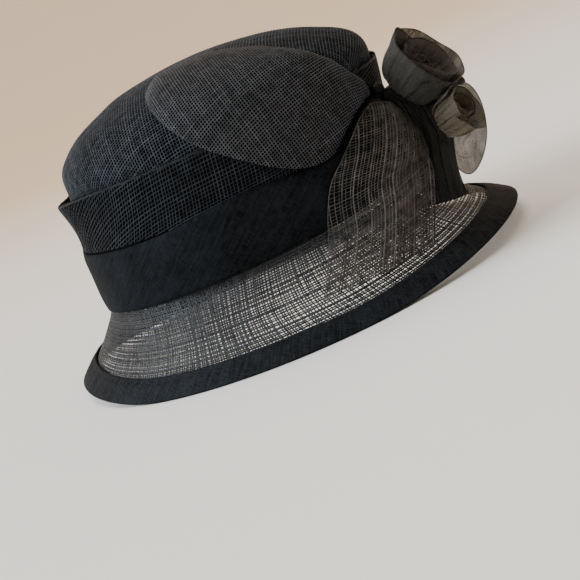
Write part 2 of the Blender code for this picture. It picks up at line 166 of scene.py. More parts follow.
def block(turn, level):
    """Points of the hat's outer face at turns in radians and levels."""
    turn, level = np.broadcast_arrays(np.asarray(turn, float), np.asarray(level, float))
    c = np.cos(turn)
    s = np.sin(turn)
    half_length = HEAD_LENGTH / 2
    half_width = HEAD_WIDTH / 2
    out, up = np.moveaxis(curve_rows(BRIM_ROWS, level), -1, 0)
    edge = 1.5 * (BINDING_WALL + GAP)
    head_z = HEAD_LINE + HEAD_TILT * c
    rim_z = rim_lift(turn)
    x = HEAD_SHIFT + half_length * c + ((RIM_LENGTH / 2 - edge) * c - HEAD_SHIFT - half_length * c) * out
    y = half_width * s + ((RIM_WIDTH / 2 - edge) * s - half_width * s) * out
    brim = np.stack([x, y, rim_z + (head_z - rim_z) * up], -1)
    rise, back, front, side = np.moveaxis(curve_rows(CROWN_ROWS, level - 1.0), -1, 0)
    centre = HEAD_SHIFT + half_length * (front - back) / 2
    reach = half_length * (front + back) / 2
    height = HEAD_LINE + CROWN_HEIGHT * rise + HEAD_TILT * c * (1.0 - rise)
    crown = np.stack([centre + reach * c, half_width * side * s, height], -1)
    return np.where(level[..., None] < 1.0, brim, crown)


def unit(vectors):
    """Vectors of length 1."""
    return vectors / np.maximum(np.linalg.norm(vectors, axis=-1, keepdims=True), 1e-12)


def outward(turn, level):
    """Outward directions, square to the hat's outer face."""
    step = 0.001
    turn, level = np.broadcast_arrays(np.asarray(turn, float), np.asarray(level, float))
    floor = np.where(level < 1.0, 0.0, 1.0)
    roof = np.where(level < 1.0, 0.9999, 1.999)
    along = block(turn + step, level) - block(turn - step, level)
    up = block(turn, np.minimum(level + step, roof)) - block(turn, np.maximum(level - step, floor))
    return unit(np.cross(along, up))


def off_block(turn, level, stand):
    """Points that stand off the hat's outer face."""
    return block(turn, level) + outward(turn, level) * np.asarray(stand, float)[..., None]


CROWN_LEVELS = np.linspace(0.0, 1.0, 200)
CROWN_RISES = curve_rows(CROWN_ROWS, CROWN_LEVELS)[:, 0]


def crown_level(height):
    """Level on the crown at a height above the head line."""
    return 1.0 + np.interp(np.asarray(height) / CROWN_HEIGHT, CROWN_RISES, CROWN_LEVELS)


def fold_proud(turn):
    """How far the drape's folded edge stands out."""
    degrees = np.degrees(np.arctan2(np.sin(turn), np.cos(turn)))
    table = np.array(FOLD_ROWS, dtype=float)
    return FOLD_PROUD * np.interp(degrees, table[:, 0], table[:, 1])


print("top of the crown:", block(0.0, 2.0).round(4))

# %% [markdown]
# ## Pieces of cloth and pieces of strands
# Two helpers make nearly everything. A closed piece of cloth starts as a flat grid primitive, like cloth on
# the bench, and its vertices are then laid on the hat. A woven piece is a bundle of strands: each strand is
# a path with a small diamond section, four faces for each step. Plain weave lifts a strand over one
# neighbour and under the next, so each path goes up and down by a hair at every crossing.

# %% Helpers for cloth
SEED = 11
chance = np.random.default_rng(SEED)


def deselect_all():
    """Nothing selected, so that an operator acts on the new piece alone."""
    bpy.ops.object.select_all(action="DESELECT")


def use_material(piece, material):
    """Give a piece its one material."""
    piece.data.materials.clear()
    piece.data.materials.append(material)


def finish_piece(piece, material, slot, *nodes):
    """Material, body and the solids that a finished piece stands for; the slot is not used."""
    use_material(piece, material)
    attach(piece, "root")
    if nodes:
        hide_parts(*nodes)
    print(piece.name, "has", len(piece.data.polygons), "faces")
    return piece


def lay_cloth(name, points, round_hat=False, wall=0.0, flip=False):
    """A grid primitive whose vertices are laid at points, an array of rows by columns by 3."""
    rows, columns = points.shape[:2]
    deselect_all()
    bpy.ops.mesh.primitive_grid_add(x_subdivisions=columns - 1, y_subdivisions=rows - 1, size=1.0)
    piece = bpy.context.object
    piece.name = name
    piece.data.name = name
    across = np.linalg.norm(np.diff(points, axis=1), axis=-1).mean(0).cumsum()
    along = np.linalg.norm(np.diff(points, axis=0), axis=-1).mean(1).cumsum()
    across = np.concatenate([[0.0], across])
    along = np.concatenate([[0.0], along])
    corners = np.zeros(len(piece.data.loops), dtype=np.int32)
    piece.data.loops.foreach_get("vertex_index", corners)
    uv = np.stack([across[corners % columns], along[corners // columns]], -1)
    piece.data.uv_layers[0].data.foreach_set("uv", uv.astype(np.float32).ravel())
    piece.data.vertices.foreach_set("co", points.reshape(-1, 3).astype(np.float32).ravel())
    bpy.ops.object.mode_set(mode="EDIT")
    bpy.ops.mesh.select_all(action="SELECT")
    if round_hat:
        bpy.ops.mesh.remove_doubles(threshold=0.00002)
    if flip:
        bpy.ops.mesh.flip_normals()
    bpy.ops.object.mode_set(mode="OBJECT")
    if wall > 0.0:
        shell = piece.modifiers.new("wall", "SOLIDIFY")
        shell.thickness = wall
        shell.offset = -1.0
        bpy.ops.object.modifier_apply(modifier="wall")
    piece.data.shade_smooth()
    return piece


print("every random draw follows from seed", SEED)

# %% Helpers for strands
def mesh_piece(name, corners, faces, uv):
    """An object from arrays of corners and four-sided faces, with one uv pair for each corner."""
    mesh = bpy.data.meshes.new(name)
    mesh.vertices.add(len(corners))
    mesh.vertices.foreach_set("co", corners.astype(np.float32).ravel())
    mesh.loops.add(faces.size)
    mesh.loops.foreach_set("vertex_index", faces.astype(np.int32).ravel())
    mesh.polygons.add(len(faces))
    mesh.polygons.foreach_set("loop_start", np.arange(0, faces.size, 4, dtype=np.int32))
    mesh.update(calc_edges=True)
    layer = mesh.uv_layers.new(name="strand")
    layer.data.foreach_set("uv", uv[faces.ravel()].astype(np.float32).ravel())
    mesh.shade_smooth()
    piece = bpy.data.objects.new(name, mesh)
    bpy.context.scene.collection.objects.link(piece)
    return piece


def strand(path, square, wide, thick, closed=False):
    """Corners and faces of one strand along a path, its flat side square to the cloth."""
    if closed:
        along = np.roll(path, -1, axis=0) - np.roll(path, 1, axis=0)
    else:
        along = np.gradient(path, axis=0)
    side = unit(np.cross(along, square))
    wide = np.broadcast_to(np.asarray(wide, float), (len(path),))[:, None] / 2
    thick = np.broadcast_to(np.asarray(thick, float), (len(path),))[:, None] / 2
    section = np.stack([side * wide, square * thick, -side * wide, -square * thick], 1)
    corners = (path[:, None] + section).reshape(-1, 3)
    count = len(path)
    starts = np.arange(count if closed else count - 1)[:, None] * 4
    k = np.arange(4)
    j = (k + 1) % 4
    over = (starts + 4) % (4 * count)
    faces = np.stack([starts + k, starts + j, over + j, over + k], -1).reshape(-1, 4)
    if not closed:
        last = 4 * (count - 1)
        ends = np.array([[3, 2, 1, 0], [last, last + 1, last + 2, last + 3]])
        faces = np.vstack([faces, ends])
    return corners, faces, np.repeat(run_along(path), 4)


def weave_piece(name, strands):
    """One object from many strands, each with its own tone from 0 to 1 in the uv map's second place."""
    corners, faces, uv = [], [], []
    offset = 0
    for points, quads, run in strands:
        corners.append(points)
        faces.append(quads + offset)
        tone = chance.random()
        uv.append(np.stack([run, np.full(len(run), tone)], -1))
        offset += len(points)
    return mesh_piece(name, np.vstack(corners), np.vstack(faces), np.vstack(uv))


def run_along(path):
    """Length of a path up to each of its points."""
    return np.concatenate([[0.0], np.linalg.norm(np.diff(path, axis=0), axis=-1).cumsum()])


STRAND_SEAT = 0.00025


def checkered(*shape):
    """1 and -1 in turn, as threads pass over and under."""
    return np.where(np.indices(shape).sum(0) % 2 == 0, 1.0, -1.0)


def slow_wave(count, size, waves=4):
    """A smooth random wave round a closed line, for cloth that isn't quite even."""
    place = np.linspace(0.0, 2.0 * math.pi, count, endpoint=False)
    wave = np.zeros(count)
    for k in range(1, waves + 1):
        wave += chance.normal() * np.sin(k * place + chance.uniform(0.0, 2.0 * math.pi)) / k
    return size * wave


print("a short strand has", len(strand(np.eye(3), np.ones((3, 3)), 0.1, 0.1)[1]), "faces")

# %% [markdown]
# ## Nets
# Flat cloth can't stretch along its threads, so over a rounded shape its square holes shear into diamonds:
# square near the middle, long and narrow on the bias. A net of strands that keeps every step the same
# length does just that. It grows from threads that cross at one place, and each new crossing is the point
# of the surface that lies one step from its two neighbours.

# %% Helpers for nets
def cloth_thread(onto, start, heading, step_size, steps):
    """A thread over a surface from a start, straight ahead in equal steps."""
    points = [start]
    ahead = heading.copy()
    while len(points) < steps + 1:
        place = onto(np.array([points[-1] + ahead * step_size]))[0]
        if not np.isfinite(place).all():
            break
        ahead = unit(place - points[-1])
        points.append(points[-1] + ahead * step_size)
    while len(points) < steps + 1:
        points.append(np.full(3, np.nan))
    return np.array(points)


def grow_net(onto, first, second, step_size):
    """A quarter of a net: each crossing is one step from both of its neighbours."""
    count = len(first)
    net = np.full((count, count, 3), np.nan)
    net[:, 0] = first
    net[0, :] = second
    for diagonal in range(2, 2 * count - 1):
        i = np.arange(max(1, diagonal - count + 1), min(count, diagonal))
        j = diagonal - i
        a, b, old = net[i - 1, j], net[i, j - 1], net[i - 1, j - 1]
        middle = (a + b) / 2
        rope = unit(b - a)
        gap = np.linalg.norm(b - a, axis=-1, keepdims=True)
        reach = np.sqrt(np.maximum(step_size ** 2 - gap ** 2 / 4, 1e-9))
        guess = middle + unit(middle - old) * reach
        for _ in range(2):
            ahead = onto(guess) - middle
            ahead = unit(ahead - rope * (ahead * rope).sum(-1, keepdims=True))
            guess = middle + ahead * reach
        guess[gap[:, 0] > 1.985 * step_size] = np.nan
        net[i, j] = guess
    return net


def whole_net(onto, start, heading, across, step_size, steps):
    """Four quarters of a net round a start, from its two thread directions."""
    ways = [heading, across, -heading, -across]
    lines = [cloth_thread(onto, start, way, step_size, steps) for way in ways]
    size = 2 * steps + 1
    net = np.full((size, size, 3), np.nan)
    for k, (sign_i, sign_j) in enumerate([(1, 1), (-1, 1), (-1, -1), (1, -1)]):
        quarter = grow_net(onto, lines[k], lines[(k + 1) % 4], step_size)
        if k % 2 == 1:
            quarter = quarter.transpose(1, 0, 2)
        rows = steps + sign_i * np.arange(steps + 1)
        columns = steps + sign_j * np.arange(steps + 1)
        net[np.ix_(rows, columns)] = quarter
    return net


flat_net = whole_net(lambda points: points * [1.0, 1.0, 0.0], np.zeros(3), np.array([1.0, 0.0, 0.0]),
                     np.array([0.0, 1.0, 0.0]), 0.1, 3)
print("a flat net of 3 steps of 0.1 each way is", round(float(np.ptp(flat_net[..., 0])), 2), "wide")

# %% Helpers for laying a net on a surface
def net_squares(net, eye, spare):
    """Directions square to a net and away from an eye, with spare ones where the net ends."""
    squares = np.cross(np.gradient(net, axis=0), np.gradient(net, axis=1))
    squares *= np.sign((squares * (net - eye)).sum(-1, keepdims=True))
    squares = unit(squares)
    return np.where(np.isfinite(squares), squares, spare)


def grid_faces(rows, columns, closed=False):
    """Four-sided faces over a grid of corners, closed round its columns or open."""
    faces = []
    for row in range(rows - 1):
        for i in range(columns if closed else columns - 1):
            here = row * columns + i
            beside = row * columns + (i + 1) % columns
            faces.append((here, beside, beside + columns, here + columns))
    return faces


def mover(corners, faces, eye):
    """A helper that moves points on to a surface, along lines from an eye inside it."""
    tree = BVHTree.FromPolygons([Vector(p) for p in corners.reshape(-1, 3)], faces)
    middle = Vector(eye)

    def onto(points):
        moved = np.full(points.shape, np.nan)
        for i, point in enumerate(points):
            if np.isfinite(point).all():
                hit = tree.ray_cast(middle, (Vector(point) - middle).normalized())[0]
                if hit is not None:
                    moved[i] = hit
        return moved

    return onto


def runs_of(kept):
    """Stretches of places next to each other that are kept along a thread."""
    places = np.flatnonzero(kept)
    return np.split(places, np.flatnonzero(np.diff(places) > 1) + 1)


print("a grid of 3 by 4 corners has", len(grid_faces(3, 4)), "faces")

# %% [markdown]
# ## Finishes
# Straw cloth is stiff banana fibre, dyed black and sized, so each strand is near-black and still catches a
# grey gleam. No two strands take the dye alike: the uv map's second place holds each strand's own tone. The
# silk is matt with thick threads here and there. The organza is so thin that its layers add up from smoke
# to black.

# %% Helpers for materials
def new_finish(name):
    """A material with its node tree and its shader."""
    material = bpy.data.materials.new(name)
    material.use_nodes = True
    tree = material.node_tree
    return material, tree, tree.nodes["Principled BSDF"]


def set_values(node, **values):
    """Numbers set on a node's own sockets, named with _ for a space."""
    for name, value in values.items():
        node.inputs[name.replace("_", " ")].default_value = value


def maths(tree, operation, *values):
    """A sum of two or three values: a socket is linked and a number is set."""
    node = tree.nodes.new("ShaderNodeMath")
    node.operation = operation
    for place, value in zip(node.inputs, values):
        if isinstance(value, float):
            place.default_value = value
        else:
            tree.links.new(value, place)
    return node.outputs["Value"]


def stretched(tree, value, low, high, to_low=0.0, to_high=1.0, curve="LINEAR"):
    """A socket's value from one range laid on another."""
    node = tree.nodes.new("ShaderNodeMapRange")
    node.interpolation_type = curve
    set_values(node, From_Min=low, From_Max=high, To_Min=to_low, To_Max=to_high)
    tree.links.new(value, node.inputs["Value"])
    return node.outputs["Result"]


def base_colour(tree, shader, dark, light, share, start=0.0):
    """The shader's colour between two, by a socket's value."""
    ramp = tree.nodes.new("ShaderNodeValToRGB")
    ramp.color_ramp.elements[0].color = (*dark, 1.0)
    ramp.color_ramp.elements[1].color = (*light, 1.0)
    ramp.color_ramp.elements[0].position = start
    tree.links.new(share, ramp.inputs["Fac"])
    tree.links.new(ramp.outputs["Color"], shader.inputs["Base Color"])


def noise_on(tree, scale, stretch=(1.0, 1.0, 1.0), source="Object", detail=2.0, turned=0.0):
    """Noise on object or uv places, stretched along its axes."""
    if source == "Object":
        place = tree.nodes.new("ShaderNodeTexCoord").outputs["Object"]
    else:
        place = tree.nodes.new("ShaderNodeUVMap").outputs["UV"]
    mapping = tree.nodes.new("ShaderNodeMapping")
    mapping.vector_type = "TEXTURE" if turned else "POINT"
    scales = [1.0 / s for s in stretch] if turned else stretch
    set_values(mapping, Scale=scales, Rotation=(0.0, 0.0, math.radians(turned)))
    noise = tree.nodes.new("ShaderNodeTexNoise")
    set_values(noise, Scale=scale, Detail=detail)
    tree.links.new(place, mapping.inputs["Vector"])
    tree.links.new(mapping.outputs["Vector"], noise.inputs["Vector"])
    return noise.outputs["Fac"]


def add_bump(tree, shader, height, strength, distance):
    """Relief from a socket's value."""
    bump = tree.nodes.new("ShaderNodeBump")
    set_values(bump, Strength=strength, Distance=distance)
    tree.links.new(height, bump.inputs["Height"])
    tree.links.new(bump.outputs["Normal"], shader.inputs["Normal"])


print("helpers for finishes are ready")

# %% [markdown]
# ### Straw
# A strand's tone comes from its own number in the uv map and from slow noise, so neighbours differ and
# patches show, as in hand-dyed cloth. One material then serves thousands of strands. The under-cloth is
# seen only through holes, so two crossed waves are enough for its weave.

# %% Straw and its under-cloth
WAVE_TURN = 3.18


def straw_finish(name, dark, light, roughness, gleam):
    """Strands that differ in tone, with fibres along them."""
    material, tree, shader = new_finish(name)
    split = tree.nodes.new("ShaderNodeSeparateXYZ")
    tree.links.new(tree.nodes.new("ShaderNodeUVMap").outputs["UV"], split.inputs["Vector"])
    patch = maths(tree, "MULTIPLY_ADD", noise_on(tree, 240.0), 1.1, -0.25)
    tone = maths(tree, "MULTIPLY_ADD", split.outputs["Y"], 0.45, patch)
    base_colour(tree, shader, dark, light, tone, 0.12)
    add_bump(tree, shader, noise_on(tree, 2600.0), 0.35, 0.0002)
    set_values(shader, Roughness=roughness, Specular_IOR_Level=gleam)
    return material


def cloth_finish(name, dark, light, pitch, roughness, depth):
    """Closed woven cloth: two sets of ridges along the uv map's two ways."""
    material, tree, shader = new_finish(name)
    ridges = []
    for way in ("X", "Y"):
        wave = tree.nodes.new("ShaderNodeTexWave")
        wave.bands_direction = way
        set_values(wave, Scale=1.0 / (pitch * WAVE_TURN), Distortion=0.6)
        tree.links.new(tree.nodes.new("ShaderNodeUVMap").outputs["UV"], wave.inputs["Vector"])
        ridges.append(wave.outputs["Fac"])
    weave = maths(tree, "MAXIMUM", *ridges)
    base_colour(tree, shader, dark, light, maths(tree, "MULTIPLY", weave, noise_on(tree, 120.0)))
    add_bump(tree, shader, weave, 0.5, depth)
    set_values(shader, Roughness=roughness, Specular_IOR_Level=0.04)
    return material


crown_straw = straw_finish("crown_straw", (0.0015, 0.002, 0.0025), (0.104, 0.118, 0.140), 0.40, 0.16)
# This finish also dresses the leaf's under layer, where its darkness is painted shade.
drape_straw = straw_finish("drape_straw", (0.001, 0.0015, 0.002), (0.042, 0.048, 0.057), 0.42, 0.12)
brim_straw = straw_finish("brim_straw", (0.003, 0.003, 0.003), (0.056, 0.061, 0.067), 0.36, 0.34)
leaf_straw = straw_finish("leaf_straw", (0.008, 0.009, 0.010), (0.125, 0.128, 0.140), 0.40, 0.32)
# The tail's folded-under layer: darker than the tail's finish as painted shade, and browner.
shaded_fold_straw = straw_finish("shaded_fold_straw", (0.008, 0.006, 0.005), (0.120, 0.088, 0.070), 0.42, 0.20)
tail_straw = straw_finish("tail_straw", (0.006, 0.0055, 0.005), (0.150, 0.136, 0.124), 0.42, 0.20)
UNDER_PITCH = 0.0012
under_cloth = cloth_finish("under_cloth", (0.001, 0.001, 0.0015), (0.004, 0.0045, 0.006), UNDER_PITCH, 0.85,
                           0.0003)
print("straw:", [m.name for m in bpy.data.materials if "straw" in m.name])

# %% [markdown]
# ### Silk and organza
# Slubs are thick places in a thread. Noise that is stretched far more one way than the other draws them,
# and turning it puts the cloth on the bias. Organza needs no glass shader: its alpha follows the streaks of
# its threads, so light comes through it, and each further layer makes it darker.

# %% Silk and organza
SILK_THREADS = [
    # stretch along the uv map, detail: fine threads, cross threads, slubs
    ((170.0, 1500.0, 1.0), 3.0), ((1500.0, 200.0, 1.0), 2.0), ((40.0, 620.0, 1.0), 4.0),
]


def silk_finish(name, dark, light, roughness, gleam, turned):
    """Slubbed silk: crossing fine threads, thick ones here and there, and cloudy patches."""
    material, tree, shader = new_finish(name)
    fine, cross, slubs = (noise_on(tree, 1.0, way, "UV", detail, turned) for way, detail in SILK_THREADS)
    threads = maths(tree, "ADD", fine, cross)
    total = maths(tree, "MULTIPLY_ADD", slubs, 0.9, threads)
    total = maths(tree, "MULTIPLY_ADD", noise_on(tree, 55.0), 0.5, total)
    base_colour(tree, shader, dark, light, stretched(tree, total, 1.35, 2.05))
    add_bump(tree, shader, threads, 0.8, 0.0003)
    set_values(shader, Roughness=roughness, Sheen_Weight=0.01, Sheen_Roughness=0.45, Specular_IOR_Level=gleam)
    return material


def organza_finish(name, dark, light, low, high, roughness=0.45):
    """Sheer organza: streaks along the cloth, thick where the noise is high."""
    material, tree, shader = new_finish(name)
    streak = noise_on(tree, 1.0, (620.0, 36.0, 1.0), "UV", 4.0)
    base_colour(tree, shader, dark, light, streak)
    cloudy = maths(tree, "ADD", streak, noise_on(tree, 160.0))
    tree.links.new(stretched(tree, cloudy, 0.70, 1.30, low, high), shader.inputs["Alpha"])
    add_bump(tree, shader, streak, 0.4, 0.0003)
    set_values(shader, Roughness=roughness, Sheen_Weight=0.06, Specular_IOR_Level=0.18)
    return material


band_silk = silk_finish("band_silk", (0.0006, 0.0008, 0.0011), (0.0120, 0.0150, 0.0185), 0.70, 0.045, 38.0)
rim_silk = silk_finish("rim_silk", (0.0012, 0.0015, 0.0018), (0.0200, 0.0235, 0.0280), 0.66, 0.05, 62.0)
rose_organza = organza_finish("rose_organza", (0.008, 0.0065, 0.0055), (0.130, 0.108, 0.086), 0.62, 0.92)
wrap_organza = organza_finish("wrap_organza", (0.0008, 0.0008, 0.0008), (0.064, 0.060, 0.052), 0.70, 0.96,
                              0.72)
roll_organza = organza_finish("roll_organza", (0.020, 0.015, 0.010), (0.190, 0.148, 0.100), 0.50, 0.78)
petal_organza = organza_finish("petal_organza", (0.060, 0.040, 0.026), (0.190, 0.134, 0.084), 0.58, 0.76)
dark_organza = organza_finish("dark_organza", (0.002, 0.002, 0.002), (0.018, 0.015, 0.012), 0.74, 0.94)
# Dark cords for folded hems and rims, and also painted shade along pleats and creases.
hem_and_crease_shade_organza = organza_finish("hem_and_crease_shade_organza", (0.006, 0.005, 0.004), (0.020, 0.016, 0.012), 0.85, 0.97)
print("materials:", len(bpy.data.materials))

# %% [markdown]
# ## Table and light
# A pale floor turns warmer further back and curves up, as a photographer's sweep does, so no horizon shows.
# A cool window at the back left gives the gleam on crown and brim, a warm weak light fills the front, and a
# low light behind the hat shines through the brim. Lights of the SUN kind, made wide, leave no sharp edge
# on the cloth. A small lamp under the crown lights the floor inside the hat, so the open brim is seen
# against something bright.

# %% The floor
SWEEP_WIDTH = 20.0
SWEEP_BEND = 2.0
SWEEP_RADIUS = 1.2
SWEEP_TOP = 5.0
FLOOR_DROP = 0.0003
profile = [(-30.0, 0.0), (-3.0, 0.0), (SWEEP_BEND, 0.0)]
profile += [(SWEEP_BEND + SWEEP_RADIUS * math.sin(a), SWEEP_RADIUS - SWEEP_RADIUS * math.cos(a))
            for a in np.linspace(0.06, math.pi / 2, 24)]
profile.append((SWEEP_BEND + SWEEP_RADIUS, SWEEP_TOP))
across = np.linspace(-SWEEP_WIDTH, SWEEP_WIDTH, 9)
sweep = lay_cloth("floor", np.array([[(x, y, z - FLOOR_DROP) for x in across] for y, z in profile]))
floor_finish, floor_tree, floor_shader = new_finish("floor_paper")
floor_place = floor_tree.nodes.new("ShaderNodeTexCoord")
floor_ways = floor_tree.nodes.new("ShaderNodeSeparateXYZ")
floor_tree.links.new(floor_place.outputs["Object"], floor_ways.inputs["Vector"])
distance = stretched(floor_tree, floor_ways.outputs["Y"], 0.05, 1.30, curve="SMOOTHSTEP")
base_colour(floor_tree, floor_shader, (0.88, 0.85, 0.80), (0.74, 0.55, 0.37), distance)
set_values(floor_shader, Roughness=0.95, Specular_IOR_Level=0.1)
use_material(sweep, floor_finish)
print("the floor's lowest point is at", min(v.co.z for v in sweep.data.vertices))

# %% [markdown]
# ### Light
# Small lamps near the hat would give hard bright spots on near-black cloth. Far, wide lights give a slow
# change from light to dark over the crown, and the world fills what they leave.

# %% The lights
SOFT_WHITE = (1.0, 0.97, 0.93)


def far_light(name, towards, energy, angle, colour=SOFT_WHITE):
    """A wide soft light from far away; towards is the way from the hat to the light."""
    bpy.ops.object.light_add(type="SUN", location=(0.0, 0.0, 3.0))
    light = bpy.context.object
    light.name = name
    light.data.energy = energy
    light.data.angle = math.radians(angle)
    light.data.color = colour
    light.rotation_euler = (-Vector(towards)).to_track_quat("-Z", "Y").to_euler()


far_light("window", (-1.55, -0.40, 0.70), 4.7, 40.0, (0.78, 0.89, 1.0))
far_light("room", (1.50, -1.20, 0.95), 0.35, 60.0, (1.0, 0.84, 0.70))
far_light("behind", (-0.10, 1.40, 0.34), 3.6, 20.0)
far_light("daylight", (-0.30, 0.35, 1.00), 2.5, 60.0)
bpy.ops.object.light_add(type="AREA", location=(0.010, -0.015, 0.085))
under = bpy.context.object
under.name = "under_crown"
under.data.shape = "DISK"
under.data.size = 0.13
under.data.energy = 0.16
under.data.color = (1.0, 0.97, 0.92)
under.visible_camera = False
world = bpy.data.worlds.new("studio")
bpy.context.scene.world = world
world.use_nodes = True
set_values(world.node_tree.nodes["Background"], Color=(0.80, 0.73, 0.64, 1.0), Strength=0.50)

# %% [markdown]
# ## The crown
# The crown is one piece of cloth, steamed and pulled over the dome, with its threads straight over the top
# from side to side. A dark closed cloth lies just under the strands, for the folded layers that the real
# crown has inside, and the net of strands is grown over it.

# %% The crown's closed under-cloth
AROUND = 156
full_turn = np.linspace(0.0, 2.0 * math.pi, AROUND + 1)
full_turn[-1] = full_turn[0]


def hat_rows(levels, stand):
    """Rows of points round the hat."""
    return np.stack([off_block(full_turn, level, stand) for level in levels])


UNDER = -0.0004
crown_levels = np.concatenate([np.linspace(float(crown_level(UPSTAND)), 1.45, 6),
                               np.linspace(1.5, 1.985, 26)])
crown_points = np.concatenate([hat_rows(crown_levels, UNDER), np.broadcast_to(
    block(0.0, 2.0) + [0, 0, UNDER], (1, AROUND + 1, 3))])
crown_cloth = lay_cloth("crown_cloth", crown_points, round_hat=True, wall=STRAW_WALL + UNDER)
finish_piece(crown_cloth, under_cloth, "straw_cloth", "crown")

# %% [markdown]
# ### The crown's net
# The net is grown on a fine mesh of the dome, where a ray from the middle of the head finds the surface
# fast. Warp and weft are two pieces, so that neither has too many triangles. The net ends below the drape's
# fold, where the drape hides it.

# %% The net of strands over the crown
CROWN_STEP = 0.0018
BLOCK_HEART = Vector((HEAD_SHIFT + 0.006, 0.0, HEAD_LINE + 0.030))
dome_levels = np.linspace(1.30, 1.999, 70)
dome_rows = hat_rows(dome_levels, 0.0)
dome_faces = grid_faces(len(dome_levels), AROUND, closed=True)
dome_faces.append(tuple((len(dome_levels) - 1) * AROUND + i for i in range(AROUND)))
onto_dome = mover(dome_rows[:, :-1], dome_faces, BLOCK_HEART)

NET_TURN = math.radians(-88.0)
NET_STEPS = 84
top_point = onto_dome(np.array([[BLOCK_HEART.x, 0.0, HEAD_LINE + CROWN_HEIGHT + 0.01]]))[0]
net = whole_net(onto_dome, top_point, np.array([math.cos(NET_TURN), math.sin(NET_TURN), 0.0]),
                np.array([-math.sin(NET_TURN), math.cos(NET_TURN), 0.0]), CROWN_STEP, NET_STEPS)
known = np.isfinite(net[..., 0])
print("crossings on the crown:", int(known.sum()))


def head_turn(points):
    """Turn round the head at points."""
    return np.arctan2(points[..., 1] / HEAD_WIDTH, (points[..., 0] - HEAD_SHIFT) / HEAD_LENGTH)


def fold_dip(turn):
    """How far the drape's fold dips at the back."""
    return FOLD_DIP_BACK * np.clip(-np.cos(turn), 0.0, None) ** 6


def hidden_below(points):
    """Where the drape's fold hides the crown."""
    return points[..., 2] < HEAD_LINE + FOLD_HEIGHT - fold_dip(head_turn(points)) - 0.010


known &= ~hidden_below(np.nan_to_num(net, nan=-1.0))
heart = np.array(BLOCK_HEART)
square = net_squares(net, heart, unit(net - heart))
over_under = checkered(*known.shape)
CROWN_LIFT = 0.00016
CROWN_STRAND = 0.00048
CROWN_THICK = 0.00030


def net_threads(points, squares, kept, sign):
    """Strands along the net's rows."""
    found = []
    for row in range(len(points)):
        for run in runs_of(kept[row]):
            if len(run) < 3:
                continue
            rise = STRAND_SEAT + sign * over_under[row, run, None] * CROWN_LIFT
            path = points[row, run] + squares[row, run] * rise
            width = CROWN_STRAND * chance.uniform(0.75, 1.25) * (1.0 + 0.12 * chance.normal(size=len(run)))
            width = np.clip(width, 0.3 * CROWN_STRAND, 1.6 * CROWN_STRAND)
            found.append(strand(path, squares[row, run], width, CROWN_THICK))
    return found


finish_piece(weave_piece("crown_warp", net_threads(net, square, known, 1.0)), crown_straw, "straw_cloth")
weft = net_threads(net.transpose(1, 0, 2), square.transpose(1, 0, 2), known.T, -1.0)
finish_piece(weave_piece("crown_weft", weft), crown_straw, "straw_cloth")

# %% [markdown]
# ## The drape
# The second tier is a strip of the same cloth, folded at its top edge and cut on the bias at the back. Its
# threads turn slowly as the strip goes round, so each strand is traced step by step, in a direction that
# depends on where it is.

# %% The drape's under-cloth
drape_base = BAND_HEIGHT + 4.0 * GAP
drape_hug = GAP + DRAPE_WALL
DRAPE_INSET = 0.0003


def drape_points(turn, share, inset=0.0):
    """The drape's outer face: share 0 is at the band and 1 is over the fold."""
    out, up = np.moveaxis(curve_rows(DRAPE_SECTION, share), -1, 0)
    height = drape_base + (FOLD_HEIGHT - fold_dip(turn) - drape_base) * up
    stand = drape_hug + (fold_proud(turn) - drape_hug) * out
    return off_block(turn, crown_level(height), stand - inset)


drape_tuck = np.stack([off_block(full_turn, crown_level(BAND_HEIGHT - below), drape_hug - DRAPE_INSET)
                       for below in (0.004, 0.001)])
drape_rows = np.stack([drape_points(full_turn, share, DRAPE_INSET) for share in np.linspace(0.0, 1.0, 34)])
drape_cloth = lay_cloth("drape_cloth", np.concatenate([drape_tuck, drape_rows]), round_hat=True,
                        wall=DRAPE_WALL * 0.7)
finish_piece(drape_cloth, under_cloth, "straw_cloth", "crown_drape")

# %% [markdown]
# ### The drape's strands
# Threads of bias cloth lean, and the lean changes round the head. Tracing is like walking with a compass: a
# short step, a look at the direction, and the next step. Two more threads lie along the fold, where the
# cloth is turned in.

# %% The drape's strands
DRAPE_STEP = 0.0019
DRAPE_TOP = 0.80
GIRTH = math.pi * (HEAD_LENGTH + HEAD_WIDTH) / 2
shares = np.linspace(0.0, DRAPE_TOP, 60)
side_run = run_along(drape_points(-math.pi / 2, shares))
DRAPE_RISE = side_run[-1]
DRAPE_STRAND = 0.00050
DRAPE_THICK = 0.00028
DRAPE_LIFT = 0.00014
LONGEST_THREAD = 220
FOLD_SHARES = (0.612, 0.650)
FOLD_STRAND = 0.00045
FOLD_LIFT = 0.00018


def thread_lean(place):
    """Lean of the drape's steeper threads at a place round the hat, in radians from level."""
    turn = place / GIRTH * 2.0 * math.pi
    return np.radians(66.0 + 20.0 * np.cos(turn + 0.9) + 5.0 * np.sin(3.0 * turn))


def trace(place, steep):
    """A thread's path over the strip from its foot, as places round and up."""
    height = 0.0
    rows = [(place, height)]
    while 0.0 <= height <= DRAPE_RISE and len(rows) <= LONGEST_THREAD:
        lean = thread_lean(place) - (0.0 if steep else math.pi / 2)
        place = place + DRAPE_STEP * np.cos(lean)
        height = height + DRAPE_STEP * np.sin(lean) * (1.0 if steep else -1.0)
        rows.append((place, height))
    return np.array(rows)


